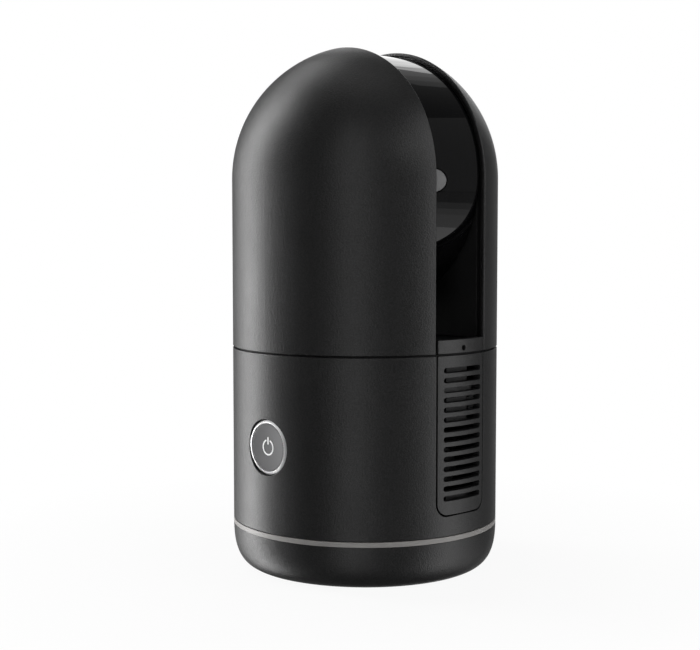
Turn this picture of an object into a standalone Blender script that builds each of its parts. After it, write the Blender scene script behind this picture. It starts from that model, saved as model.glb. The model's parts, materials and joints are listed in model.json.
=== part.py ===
"""Terrestrial laser scanner: a fixed base, a turning slotted head and a spinning mirror drum.

Metres, +Z up.  The turning axis is Z, the origin is the centre of the underside, the slot opens to -Y and +Y,
and the power button is on the -X side of the base.
"""
import math

import bmesh
import bpy
from mathutils import Matrix, Vector

MM = 0.001

# Outer form
BODY_RADIUS = 40.0 * MM
CORNER_HEIGHT = 14.6 * MM
CORNER_INSET = 9.4 * MM
CORNER_POWER = 2.8
SHELL_WALL = 2.2 * MM
SPLIT_GAP = 0.6 * MM
SLOT_WIDTH = 20.2 * MM
LIP_HEIGHT = 3.9 * MM
SENSOR_HOLE_RADIUS = 0.75 * MM
SENSOR_HOLE_HEIGHT = 1.4 * MM

# Fits
FIT_GAP = 0.25 * MM
RUN_GAP = 0.5 * MM
CUT_MARGIN = 2.0 * MM

# Foot, bottom cap and light ring
FOOT_STEP = 0.6 * MM
FOOT_OUTER_RADIUS = 31.5 * MM
FOOT_WIDTH = 6.0 * MM
FOOT_DEPTH = 1.2 * MM
FOOT_NOTCH = 0.35 * MM
FOOT_PAD_ANGLE = 14.0
CAP_FLOOR = 3.4 * MM
RING_TOP = 14.8 * MM
RING_HEIGHT = 1.6 * MM
RING_DEPTH = 3.5 * MM
LED_BOARD_WIDTH = 6.0 * MM
LED_BOARD_THICKNESS = 1.0 * MM
SOCKET_RADIUS = 13.0 * MM
SOCKET_BORE_RADIUS = 4.2 * MM
SOCKET_BORE_DEPTH = 8.0 * MM
SOCKET_ROOF = 1.4 * MM
SOCKET_BOSS_WALL = 3.6 * MM
SOCKET_FLANGE = 2.8 * MM
SCREW_CIRCLE_RADIUS = 19.2 * MM
SCREW_HEAD_RADIUS = 2.2 * MM
SCREW_HEAD_HEIGHT = 1.2 * MM
SCREW_SHANK_RADIUS = 1.1 * MM
SCREW_LENGTH = 4.2 * MM
SCREW_COUNT = 4

# Vent panels
PANEL_BOTTOM = 20.4 * MM
PANEL_CORNER = 4.0 * MM
PANEL_GAP = 0.4 * MM
LOUVRE_COUNT = 14
LOUVRE_LENGTH = 16.0 * MM
LOUVRE_HEIGHT = 1.48 * MM
LOUVRE_PITCH = 2.81 * MM
LOUVRE_TOP_MARGIN = 4.15 * MM

# Power button
BUTTON_HEIGHT = 39.45 * MM
BEZEL_RADIUS = 7.85 * MM
BEZEL_WIDTH = 0.85 * MM
BEZEL_GAP = 0.35 * MM
BEZEL_SLOPE = 0.5 * MM
BEZEL_SINK = 0.55 * MM
BEZEL_CLIP_REACH = 2.0 * MM
BEZEL_CLIP_HEIGHT = 8.0 * MM
BUTTON_SINK = 0.75 * MM
BUTTON_THICKNESS = 2.6 * MM
BUTTON_TRAVEL = 0.6 * MM
BUTTON_STEM_RADIUS = 2.0 * MM
BUTTON_STEM_LENGTH = 3.0 * MM
SWITCH_SIZE = 6.0 * MM
SWITCH_HEIGHT = 1.6 * MM
BOARD_THICKNESS = 1.6 * MM
BUTTON_BOARD_WIDTH = 18.0 * MM
BUTTON_BOARD_MARGIN = 8.0 * MM

# Battery bay and door
TRAY_FLOOR = 2.0 * MM
TRAY_WALL = 2.0 * MM
BATTERY_WIDTH = 32.0 * MM
BATTERY_HEIGHT = 18.5 * MM
BATTERY_CORNER = 3.0 * MM
CONTACT_LENGTH = 3.0 * MM
CONTACT_ROOM = 3.0 * MM
DOOR_STANDOFF = 2.0 * MM
DOOR_CORNER = 2.5 * MM
HINGE_PIN_RADIUS = 0.5 * MM
HINGE_PIN_REACH = 2.5 * MM
HINGE_CLEARANCE = 0.65 * MM
FINGER_NOTCH_RADIUS = 5.0 * MM
FINGER_NOTCH_DEPTH = 0.9 * MM

# Cooling and electronics in the base
FAN_SIZE = 30.0 * MM
FAN_STANDOFF = 2.0 * MM
FAN_DEPTH = 9.0 * MM
FAN_WALL = 1.2 * MM
FAN_HUB_RADIUS = 6.0 * MM
FAN_BLADE_COUNT = 7
FAN_BLADE_THICKNESS = 0.9 * MM
FAN_BLADE_TILT = 38.0
FAN_SPIDER = 1.2 * MM
MAIN_BOARD_WIDTH = 42.0 * MM
MAIN_BOARD_LENGTH = 44.0 * MM
CHIP_SIZE = 9.0 * MM
CHIP_HEIGHT = 1.4 * MM
CHIP_SPACING = 16.0 * MM
HEAT_SINK_FINS = 8
HEAT_SINK_WIDTH = 28.0 * MM
HEAT_SINK_LENGTH = 8.5 * MM
HEAT_SINK_HEIGHT = 10.0 * MM
HEAT_SINK_BASE = 2.0 * MM

# Turning drive between base and head
DECK_HEADROOM = 6.3 * MM
DECK_THICKNESS = 3.0 * MM
LEDGE_DEPTH = 2.8 * MM
LEDGE_THICKNESS = 3.0 * MM
DRIVE_SPACE = 9.2 * MM
SHAFT_RADIUS = 6.0 * MM
SHAFT_BORE = 3.0 * MM
SHAFT_DROP = 9.0 * MM
SHAFT_FLANGE_RADIUS = 12.0 * MM
SHAFT_FLANGE = 2.6 * MM
BEARING_RING = 3.6 * MM
BEARING_HEIGHT = 6.0 * MM
STATOR_INNER_RADIUS = 20.0 * MM
STATOR_WIDTH = 6.5 * MM
STATOR_HEIGHT = 5.0 * MM
MAGNET_WIDTH = 3.0 * MM
MAGNET_HEIGHT = 7.0 * MM
CODE_DISC_RADIUS = 18.0 * MM
CODE_DISC_THICKNESS = 0.8 * MM
READER_SIZE = 3.6 * MM
SLIP_RING_WIDTH = 2.8 * MM
BRUSH_WIDTH = 8.0 * MM
BRUSH_LENGTH = 5.0 * MM

# Head
TURNTABLE_THICKNESS = 2.8 * MM
WALL_PLATE = 2.2 * MM
WALL_RECESS = 0.4 * MM
BEARING_BOSS_WALL = 2.3 * MM
BEARING_BOSS_LENGTH = 2.6 * MM
HEAD_BOARD_WIDTH = 40.0 * MM
HEAD_BOARD_HEIGHT = 28.0 * MM
LASER_LENGTH = 18.0 * MM
LASER_WIDTH = 16.0 * MM
LASER_HEIGHT = 18.0 * MM
BARREL_RADIUS = 6.7 * MM
BARREL_WALL = 2.2 * MM
LENS_THICKNESS = 1.0 * MM

# Mirror drum
DRUM_SETBACK = 1.4 * MM
DRUM_FLOOR_GAP = 9.1 * MM
DRUM_WALL = 2.2 * MM
DRUM_WEB = 2.2 * MM
DRUM_EDGE = 0.4 * MM
DRUM_HUB_RADIUS = 8.0 * MM
DRUM_HUB_LENGTH = 5.6 * MM
COVER_THICKNESS = 1.5 * MM
COVER_BORE_RADIUS = 7.0 * MM
WINDOW_WIDTH = 5.55 * MM
WINDOW_HALF_HEIGHT = 3.45 * MM
WINDOW_DROP = 1.1 * MM
WINDOW_SINK = 0.4 * MM
MIRROR_RADIUS = 4.2 * MM
MIRROR_CENTRE = 5.6 * MM
SPINDLE_RADIUS = 3.0 * MM
SPINDLE_BEARING = 3.7 * MM
MOTOR_ROTOR_RADIUS = 9.0 * MM
MOTOR_WALL = 4.0 * MM
MOTOR_LENGTH = 13.0 * MM
MOTOR_END = 1.7 * MM
SPIN_CODE_RADIUS = 12.0 * MM

# Facets
BODY_SEGMENTS = 48
DRUM_SEGMENTS = 44
RING_SEGMENTS = 20
SMALL_SEGMENTS = 12
DOME_STEPS = 9
CORNER_STEPS = 6

# Places that follow, from the foot up
INNER_RADIUS = BODY_RADIUS - SHELL_WALL
WALL_MIDDLE = BODY_RADIUS - SHELL_WALL / 2
HALF_SLOT = SLOT_WIDTH / 2
FOOT_INNER_RADIUS = FOOT_OUTER_RADIUS - FOOT_WIDTH
CAP_BOTTOM = FOOT_STEP
CAP_FLOOR_TOP = CAP_BOTTOM + CAP_FLOOR
CAP_TOP = RING_TOP - RING_HEIGHT - FIT_GAP
HOUSING_BOTTOM = RING_TOP + FIT_GAP
TRAY_BOTTOM = HOUSING_BOTTOM + RUN_GAP
TRAY_TOP = TRAY_BOTTOM + TRAY_FLOOR
BAY_BOTTOM = TRAY_TOP + FIT_GAP
BAY_TOP = BAY_BOTTOM + BATTERY_HEIGHT + FIT_GAP
MAIN_BOARD_BOTTOM = BAY_TOP + FIT_GAP
MAIN_BOARD_TOP = MAIN_BOARD_BOTTOM + BOARD_THICKNESS
FAN_FRONT = -math.sqrt((INNER_RADIUS - FAN_STANDOFF) ** 2 - (FAN_SIZE / 2) ** 2)
FAN_BACK = FAN_FRONT + FAN_DEPTH
FAN_Z = BAY_BOTTOM + FAN_SIZE / 2
DECK_BOTTOM = BAY_BOTTOM + FAN_SIZE + DECK_HEADROOM
DECK_TOP = DECK_BOTTOM + DECK_THICKNESS
LEDGE_TOP = DECK_BOTTOM - FIT_GAP
BASE_TOP = DECK_TOP + DRIVE_SPACE
HEAD_BOTTOM = BASE_TOP + SPLIT_GAP
TURNTABLE_BOTTOM = HEAD_BOTTOM + FIT_GAP
TURNTABLE_TOP = TURNTABLE_BOTTOM + TURNTABLE_THICKNESS
HEAD_FLOOR = TURNTABLE_TOP + FIT_GAP
WALL_FACE = HALF_SLOT + WALL_RECESS
WALL_BACK = WALL_FACE + WALL_PLATE
DRUM_HALF = HALF_SLOT - RUN_GAP
DRUM_RADIUS = math.sqrt(BODY_RADIUS ** 2 - HALF_SLOT ** 2) - DRUM_SETBACK
DRUM_INNER_RADIUS = DRUM_RADIUS - DRUM_WALL
DRUM_AXIS = HEAD_FLOOR + DRUM_FLOOR_GAP + DRUM_RADIUS
CROWN = DRUM_AXIS + BODY_RADIUS
BEARING_HOLE_RADIUS = SPINDLE_RADIUS + RUN_GAP + SPINDLE_BEARING
BEARING_INNER_RADIUS = SHAFT_RADIUS + FIT_GAP
BEARING_GAP_RADIUS = BEARING_INNER_RADIUS + BEARING_RING
BEARING_OUTER_RADIUS = BEARING_GAP_RADIUS + RUN_GAP + BEARING_RING

# Places that follow, across the base
BUTTON_FACE = BODY_RADIUS - BUTTON_SINK
STEM_END = -BUTTON_FACE + BUTTON_THICKNESS + BUTTON_STEM_LENGTH
SWITCH_FACE = STEM_END + BUTTON_TRAVEL + FIT_GAP
BUTTON_BOARD_FACE = SWITCH_FACE + SWITCH_HEIGHT
BUTTON_BOARD_BACK = BUTTON_BOARD_FACE + BOARD_THICKNESS
BATTERY_START = BUTTON_BOARD_BACK + CONTACT_ROOM + CONTACT_LENGTH + FIT_GAP
BATTERY_END = math.sqrt((INNER_RADIUS - DOOR_STANDOFF) ** 2 - (BATTERY_WIDTH / 2) ** 2)
HINGE_Y = BATTERY_WIDTH / 2 + FIT_GAP
HINGE_X = math.sqrt(WALL_MIDDLE ** 2 - HINGE_Y ** 2)
DOOR_BOTTOM = BAY_BOTTOM
DOOR_TOP = BAY_TOP
BEZEL_CLIP_END = BEZEL_RADIUS + BEZEL_CLIP_REACH
BEZEL_CLIP_FACE = -math.sqrt(INNER_RADIUS ** 2 - BEZEL_CLIP_END ** 2) + RUN_GAP


class Finish:
    """Colour, roughness and metallic value of each material."""

    BODY_BLACK = ("body_black", (0.022, 0.022, 0.023), 0.48, 0.0)
    GLOSS_BLACK = ("gloss_black", (0.010, 0.010, 0.011), 0.06, 0.0)
    INNER_BLACK = ("inner_black", (0.014, 0.014, 0.015), 0.60, 0.0)
    LIGHT_BAND = ("light_band", (0.42, 0.42, 0.42), 0.35, 0.0)
    SILVER = ("silver", (0.70, 0.70, 0.71), 0.25, 1.0)
    BUTTON_GREY = ("button_grey", (0.060, 0.060, 0.063), 0.42, 0.0)
    RUBBER = ("rubber", (0.018, 0.018, 0.018), 0.80, 0.0)
    STEEL = ("steel", (0.55, 0.55, 0.56), 0.30, 1.0)
    ALUMINIUM = ("aluminium", (0.62, 0.63, 0.64), 0.38, 1.0)
    COPPER = ("winding", (0.52, 0.26, 0.12), 0.40, 1.0)
    BOARD = ("circuit_board", (0.030, 0.120, 0.060), 0.50, 0.0)
    CELL = ("battery_case", (0.050, 0.052, 0.055), 0.50, 0.0)
    GLASS = ("window_glass", (0.30, 0.31, 0.32), 0.05, 0.0)
    MIRROR = ("mirror", (0.90, 0.90, 0.90), 0.02, 1.0)


def clear_scene():
    """Remove every object that the scene starts with."""
    for item in list(bpy.data.objects):
        bpy.data.objects.remove(item, do_unlink=True)


def material(finish):
    """Return the Principled material of a finish, made once."""
    name, colour, roughness, metallic = finish
    found = bpy.data.materials.get(name)
    if found:
        return found
    made = bpy.data.materials.new(name)
    made.use_nodes = True
    shader = made.node_tree.nodes["Principled BSDF"]
    shader.inputs["Base Color"].default_value = (*colour, 1.0)
    shader.inputs["Roughness"].default_value = roughness
    shader.inputs["Metallic"].default_value = metallic
    return made


def pivot(name, place):
    """Add an empty on a joint's axis."""
    empty = bpy.data.objects.new(name, None)
    empty.location = place
    bpy.context.collection.objects.link(empty)
    return empty


def add_mesh(name, shape):
    """Turn a bmesh into a linked object."""
    mesh = bpy.data.meshes.new(name)
    shape.to_mesh(mesh)
    shape.free()
    item = bpy.data.objects.new(name, mesh)
    bpy.context.collection.objects.link(item)
    return item


def piece(name, shape, finish, parent):
    """Add one sub-part with its material, carried by an empty."""
    bmesh.ops.translate(shape, verts=shape.verts, vec=-parent.location)
    item = add_mesh(name, shape)
    item.data.materials.append(material(finish))
    item.data.shade_smooth()
    item.data.set_sharp_from_angle(angle=math.radians(32))
    item.parent = parent
    return item


def cutter(name, shape):
    """Add a hidden tool shape for a Boolean."""
    item = add_mesh(name, shape)
    item.hide_render = True
    item.display_type = "WIRE"
    return item


def boolean(item, tool, operation):
    """Put a Boolean of a tool shape on an object."""
    step = item.modifiers.new(operation.lower(), "BOOLEAN")
    step.operation = operation
    step.solver = "EXACT"
    step.object = tool


def cut(item, shape):
    """Subtract a shape from an object."""
    boolean(item, cutter(item.name + "_cut", shape), "DIFFERENCE")


def keep_inside(item, shape):
    """Keep only what lies inside a shape."""
    boolean(item, cutter(item.name + "_keep", shape), "INTERSECT")


def fuse(item, shape):
    """Join a shape to an object."""
    boolean(item, cutter(item.name + "_join", shape), "UNION")


def close_up(shape):
    """Merge what meets and point every face outwards."""
    bmesh.ops.remove_doubles(shape, verts=shape.verts, dist=1e-7)
    bmesh.ops.dissolve_degenerate(shape, edges=shape.edges, dist=1e-8)
    bmesh.ops.recalc_face_normals(shape, faces=shape.faces)
    return shape


AXIS_TURN = {
    "X": Matrix.Rotation(math.pi / 2, 4, "Y"),
    "Y": Matrix.Rotation(-math.pi / 2, 4, "X"),
    "Z": Matrix.Identity(4),
}


def turned(profile, segments, axis="Z", centre=(0.0, 0.0, 0.0)):
    """Spin a closed outline of (radius, height) about an axis through a point."""
    shape = bmesh.new()
    points = [shape.verts.new((radius, 0.0, height)) for radius, height in profile]
    edges = [shape.edges.new((first, second)) for first, second in zip(points, points[1:] + points[:1])]
    bmesh.ops.spin(shape, geom=points + edges, cent=(0, 0, 0), axis=(0, 0, 1), angle=2 * math.pi,
                   steps=segments, use_merge=True)
    close_up(shape)
    bmesh.ops.transform(shape, matrix=Matrix.Translation(centre) @ AXIS_TURN[axis], verts=shape.verts)
    bmesh.ops.recalc_face_normals(shape, faces=shape.faces)
    return shape


def tube(inner, outer, low, high, segments, axis="Z", centre=(0.0, 0.0, 0.0)):
    """A plain ring or sleeve."""
    return turned([(inner, low), (outer, low), (outer, high), (inner, high)], segments, axis, centre)


def rod(radius, low, high, segments, axis="Z", centre=(0.0, 0.0, 0.0)):
    """A solid round bar."""
    return turned([(0.0, low), (radius, low), (radius, high), (0.0, high)], segments, axis, centre)


def prism(outline, low, high, axis):
    """Extrude a flat outline along X, Y or Z."""
    def place(first, second, along):
        return {"X": (along, first, second), "Y": (first, along, second), "Z": (first, second, along)}[axis]

    shape = bmesh.new()
    face = shape.faces.new([shape.verts.new(place(u, v, low)) for u, v in outline])
    grown = bmesh.ops.extrude_face_region(shape, geom=[face])
    moved = [item for item in grown["geom"] if isinstance(item, bmesh.types.BMVert)]
    bmesh.ops.translate(shape, verts=moved, vec=Vector(place(0.0, 0.0, high - low)))
    bmesh.ops.recalc_face_normals(shape, faces=shape.faces)
    return shape


def block(low, high):
    """A box between two corners."""
    outline = [(low[0], low[1]), (high[0], low[1]), (high[0], high[1]), (low[0], high[1])]
    return prism(outline, low[2], high[2], "Z")


def joined(shapes):
    """Gather shapes that don't meet into one tool."""
    whole = bmesh.new()
    for shape in shapes:
        mesh = bpy.data.meshes.new("gathered")
        shape.to_mesh(mesh)
        shape.free()
        whole.from_mesh(mesh)
        bpy.data.meshes.remove(mesh)
    return whole


def turned_by(shape, angle, axis, centre=(0.0, 0.0, 0.0)):
    """Rotate a shape about an axis through a point."""
    bmesh.ops.rotate(shape, verts=shape.verts, cent=centre, matrix=Matrix.Rotation(angle, 3, axis))
    return shape


def rounded(left, right, low, high, radii, steps=5):
    """Outline of a rectangle whose corners (lower left, lower right, upper right, upper left) are arcs."""
    corners = [(left, low, 1, 1, math.pi), (right, low, -1, 1, 1.5 * math.pi),
               (right, high, -1, -1, 0.0), (left, high, 1, -1, 0.5 * math.pi)]
    outline = []
    for (u, v, to_u, to_v, start), radius in zip(corners, radii):
        if radius <= 0.0:
            outline.append((u, v))
            continue
        for step in range(steps + 1):
            angle = start + 0.5 * math.pi * step / steps
            outline.append((u + radius * (to_u + math.cos(angle)), v + radius * (to_v + math.sin(angle))))
    return outline


def ellipse(centre, half_width, half_height, segments):
    """Outline of an ellipse."""
    angles = [2 * math.pi * step / segments for step in range(segments)]
    return [(centre[0] + half_width * math.cos(a), centre[1] + half_height * math.sin(a)) for a in angles]


def corner_angle(height):
    """Angle round the rounded bottom edge at which the outer surface has a given height."""
    share = max(0.0, 1.0 - height / CORNER_HEIGHT)
    return math.asin(min(1.0, share ** (CORNER_POWER / 2)))


def corner_point(angle, offset=0.0):
    """Radius and height of the rounded bottom edge, moved inwards by an offset."""
    radius = BODY_RADIUS - CORNER_INSET * (1.0 - math.cos(angle) ** (2 / CORNER_POWER))
    return radius - offset, CORNER_HEIGHT * (1.0 - math.sin(angle) ** (2 / CORNER_POWER))


def corner_run(low, high, steps, offset=0.0):
    """Outline of the rounded bottom edge between two heights, from the lower one up."""
    start, end = corner_angle(low), corner_angle(high)
    return [corner_point(start + (end - start) * step / steps, offset) for step in range(steps + 1)]


def dome_run(offset, steps):
    """Outline of the round dome from its equator to its crown, moved inwards by an offset."""
    radius = BODY_RADIUS - offset
    angles = [0.5 * math.pi * step / steps for step in range(steps)]
    run = [(radius * math.cos(angle), DRUM_AXIS + radius * math.sin(angle)) for angle in angles]
    return run + [(0.0, DRUM_AXIS + radius)]


def panel_outline(gap):
    """Outline of a vent panel, drawn in by a gap at its sides and foot."""
    half = HALF_SLOT - gap
    corner = PANEL_CORNER - gap
    return rounded(-half, half, PANEL_BOTTOM + gap, BASE_TOP, (corner, corner, 0.0, 0.0))


def build_foot(base):
    """Rubber foot ring with raised pads, bottom cap, tripod socket and its screws."""
    foot_top = FOOT_STEP + FOOT_DEPTH - FIT_GAP
    foot = piece("foot_ring", tube(FOOT_INNER_RADIUS, FOOT_OUTER_RADIUS, 0.0, foot_top, BODY_SEGMENTS),
                 Finish.RUBBER, base)
    spread = math.radians(90.0 - FOOT_PAD_ANGLE) / 2
    reach = FOOT_OUTER_RADIUS * 1.5
    wedge = [(0.0, 0.0), (reach * math.cos(spread), -reach * math.sin(spread)),
             (reach * math.cos(spread), reach * math.sin(spread))]
    notches = [turned_by(prism(wedge, -CUT_MARGIN, FOOT_NOTCH, "Z"), math.radians(45 + 90 * turn), "Z")
               for turn in range(4)]
    for notch in notches:
        cut(foot, notch)

    groove_top = FOOT_STEP + FOOT_DEPTH
    inner = corner_run(CAP_FLOOR_TOP, CAP_TOP, CORNER_STEPS // 2, SHELL_WALL)
    inner[0] = (inner[0][0], CAP_FLOOR_TOP)
    profile = [(SOCKET_RADIUS + FIT_GAP, CAP_FLOOR_TOP), (SOCKET_RADIUS + FIT_GAP, CAP_BOTTOM),
               (FOOT_INNER_RADIUS - FIT_GAP, CAP_BOTTOM), (FOOT_INNER_RADIUS - FIT_GAP, groove_top),
               (FOOT_OUTER_RADIUS + FIT_GAP, groove_top), (FOOT_OUTER_RADIUS + FIT_GAP, CAP_BOTTOM)]
    profile += corner_run(CAP_BOTTOM, CAP_TOP, CORNER_STEPS) + inner[::-1]
    cap = piece("bottom_cap", turned(profile, BODY_SEGMENTS), Finish.BODY_BLACK, base)

    flange_bottom = CAP_FLOOR_TOP + FIT_GAP
    flange_top = flange_bottom + SOCKET_FLANGE
    flange_radius = SCREW_CIRCLE_RADIUS + 2 * SCREW_HEAD_RADIUS
    bore_top = CAP_BOTTOM + SOCKET_BORE_DEPTH
    boss_radius = SOCKET_BORE_RADIUS + SOCKET_BOSS_WALL
    boss_top = max(bore_top + SOCKET_ROOF, flange_top + SOCKET_ROOF)
    socket = piece("tripod_socket", turned([
        (0.0, bore_top), (SOCKET_BORE_RADIUS, bore_top), (SOCKET_BORE_RADIUS, CAP_BOTTOM),
        (SOCKET_RADIUS, CAP_BOTTOM), (SOCKET_RADIUS, flange_bottom), (flange_radius, flange_bottom),
        (flange_radius, flange_top), (boss_radius, flange_top), (boss_radius, boss_top), (0.0, boss_top)],
        RING_SEGMENTS), Finish.STEEL, base)

    head_bottom = CAP_BOTTOM + FIT_GAP
    head_top = head_bottom + SCREW_HEAD_HEIGHT
    screw_top = min(head_bottom + SCREW_LENGTH, flange_top - 2 * FIT_GAP)
    for turn in range(SCREW_COUNT):
        angle = 2 * math.pi * (turn + 0.5) / SCREW_COUNT
        spot = (SCREW_CIRCLE_RADIUS * math.cos(angle), SCREW_CIRCLE_RADIUS * math.sin(angle), 0.0)
        piece(f"cap_screw_{turn + 1}", turned([
            (0.0, head_bottom), (SCREW_HEAD_RADIUS, head_bottom), (SCREW_HEAD_RADIUS, head_top),
            (SCREW_SHANK_RADIUS, head_top), (SCREW_SHANK_RADIUS, screw_top), (0.0, screw_top)],
            SMALL_SEGMENTS, "Z", spot), Finish.STEEL, base)
        hole = turned([
            (0.0, CAP_BOTTOM - CUT_MARGIN), (SCREW_HEAD_RADIUS + FIT_GAP, CAP_BOTTOM - CUT_MARGIN),
            (SCREW_HEAD_RADIUS + FIT_GAP, head_top + FIT_GAP),
            (SCREW_SHANK_RADIUS + FIT_GAP, head_top + FIT_GAP),
            (SCREW_SHANK_RADIUS + FIT_GAP, screw_top + FIT_GAP), (0.0, screw_top + FIT_GAP)],
            SMALL_SEGMENTS, "Z", spot)
        tool = cutter(f"screw_hole_{turn + 1}", hole)
        boolean(cap, tool, "DIFFERENCE")
        boolean(socket, tool, "DIFFERENCE")


def build_light_ring(base):
    """Pale band round the foot of the housing, with the ring of lamps behind it."""
    low = RING_TOP - RING_HEIGHT
    ring_inner = BODY_RADIUS - RING_DEPTH
    piece("light_ring", turned([(ring_inner, low), *corner_run(low, RING_TOP, 1), (ring_inner, RING_TOP)],
                               BODY_SEGMENTS), Finish.LIGHT_BAND, base)
    board_outer = ring_inner - FIT_GAP
    middle = RING_TOP - RING_HEIGHT / 2
    piece("led_board", tube(board_outer - LED_BOARD_WIDTH, board_outer, middle - LED_BOARD_THICKNESS / 2,
                            middle + LED_BOARD_THICKNESS / 2, RING_SEGMENTS), Finish.BOARD, base)


def build_housing(base):
    """Lower housing with its vent windows, battery doorway and button hole."""
    ledge_radius = INNER_RADIUS - LEDGE_DEPTH
    ledge_bottom = LEDGE_TOP - LEDGE_THICKNESS
    housing = piece("lower_housing", turned([
        (INNER_RADIUS, HOUSING_BOTTOM), (BODY_RADIUS, HOUSING_BOTTOM), (BODY_RADIUS, BASE_TOP),
        (INNER_RADIUS, BASE_TOP), (INNER_RADIUS, LEDGE_TOP), (ledge_radius, LEDGE_TOP),
        (ledge_radius, ledge_bottom), (INNER_RADIUS, ledge_bottom - LEDGE_DEPTH)], BODY_SEGMENTS),
        Finish.BODY_BLACK, base)
    window = [(u, v + (CUT_MARGIN if v >= BASE_TOP else 0.0)) for u, v in panel_outline(0.0)]
    far = BODY_RADIUS + CUT_MARGIN
    near = ledge_radius - CUT_MARGIN
    for side in (-1, 1):
        cut(housing, prism(window, min(side * near, side * far), max(side * near, side * far), "Y"))
    middle = (0.0, 0.0, BUTTON_HEIGHT)
    cut(housing, rod(BEZEL_RADIUS + BEZEL_GAP, -far, -near, RING_SEGMENTS, "X", middle))

    doorway = rounded(-HINGE_Y - FIT_GAP, HINGE_Y, DOOR_BOTTOM - FIT_GAP, DOOR_TOP + FIT_GAP,
                      (DOOR_CORNER, 0.0, 0.0, DOOR_CORNER))
    cut(housing, prism(doorway, BATTERY_END, far, "X"))
    barrel_room = SHELL_WALL / 2 + HINGE_CLEARANCE
    hinge = (HINGE_X, HINGE_Y, 0.0)
    cut(housing, rod(barrel_room, DOOR_BOTTOM - FIT_GAP, DOOR_TOP + FIT_GAP, SMALL_SEGMENTS, "Z", hinge))
    pin_low = DOOR_BOTTOM - HINGE_PIN_REACH
    pin_high = DOOR_TOP + HINGE_PIN_REACH
    cut(housing, rod(HINGE_PIN_RADIUS + FIT_GAP, pin_low - FIT_GAP, pin_high + FIT_GAP, SMALL_SEGMENTS, "Z",
                     hinge))


def build_vent_panels(base):
    """Curved louvred panels set into the front and the back of the housing."""
    for name, side in (("vent_panel_front", -1), ("vent_panel_rear", 1)):
        far = side * (BODY_RADIUS + CUT_MARGIN)
        near = side * (INNER_RADIUS - HALF_SLOT)
        low, high = min(near, far), max(near, far)
        panel = piece(name, prism(panel_outline(PANEL_GAP), low, high, "Y"), Finish.BODY_BLACK, base)
        keep_inside(panel, tube(INNER_RADIUS, BODY_RADIUS, PANEL_BOTTOM - CUT_MARGIN, BASE_TOP + CUT_MARGIN,
                                BODY_SEGMENTS))
        half = LOUVRE_LENGTH / 2
        slots = []
        for row in range(LOUVRE_COUNT):
            middle = BASE_TOP - LOUVRE_TOP_MARGIN - row * LOUVRE_PITCH
            bottom, top = middle - LOUVRE_HEIGHT / 2, middle + LOUVRE_HEIGHT / 2
            outline = rounded(-half, half, bottom, top, [LOUVRE_HEIGHT * 0.499] * 4, 2)
            slots.append(prism(outline, low - CUT_MARGIN, high + CUT_MARGIN, "Y"))
        cut(panel, joined(slots))


def build_button(base, press):
    """Power button with its bezel, and the switch board behind it."""
    centre = (0.0, 0.0, BUTTON_HEIGHT)
    face = -(BODY_RADIUS - BEZEL_SINK)
    bore = BEZEL_RADIUS - BEZEL_WIDTH
    clip_back = BEZEL_CLIP_FACE + BEZEL_WIDTH
    half_clip = BEZEL_CLIP_HEIGHT / 2
    bezel = piece("button_bezel", turned([
        (bore, face), (BEZEL_RADIUS, face + BEZEL_SLOPE), (BEZEL_RADIUS, clip_back), (bore, clip_back)],
        RING_SEGMENTS, "X", centre), Finish.SILVER, base)
    fuse(bezel, block((BEZEL_CLIP_FACE, -BEZEL_CLIP_END, BUTTON_HEIGHT - half_clip),
                      (clip_back, BEZEL_CLIP_END, BUTTON_HEIGHT + half_clip)))
    cut(bezel, rod(bore, face - CUT_MARGIN, clip_back + CUT_MARGIN, RING_SEGMENTS, "X", centre))

    cap_radius = bore - FIT_GAP
    cap_face = -BUTTON_FACE
    cap_back = cap_face + BUTTON_THICKNESS
    piece("power_button", turned([
        (0.0, cap_face), (cap_radius, cap_face), (cap_radius, cap_back), (BUTTON_STEM_RADIUS, cap_back),
        (BUTTON_STEM_RADIUS, STEM_END), (0.0, STEM_END)],
        RING_SEGMENTS, "X", centre), Finish.BUTTON_GREY, press)

    board_top = BUTTON_HEIGHT + BUTTON_BOARD_MARGIN
    half = BUTTON_BOARD_WIDTH / 2
    board = piece("button_board", block((BUTTON_BOARD_FACE, -half, BAY_BOTTOM),
                                        (BUTTON_BOARD_BACK, half, board_top)), Finish.BOARD, base)
    fuse(board, block((SWITCH_FACE, -SWITCH_SIZE / 2, BUTTON_HEIGHT - SWITCH_SIZE / 2),
                      (BUTTON_BOARD_BACK - FIT_GAP, SWITCH_SIZE / 2, BUTTON_HEIGHT + SWITCH_SIZE / 2)))


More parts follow.
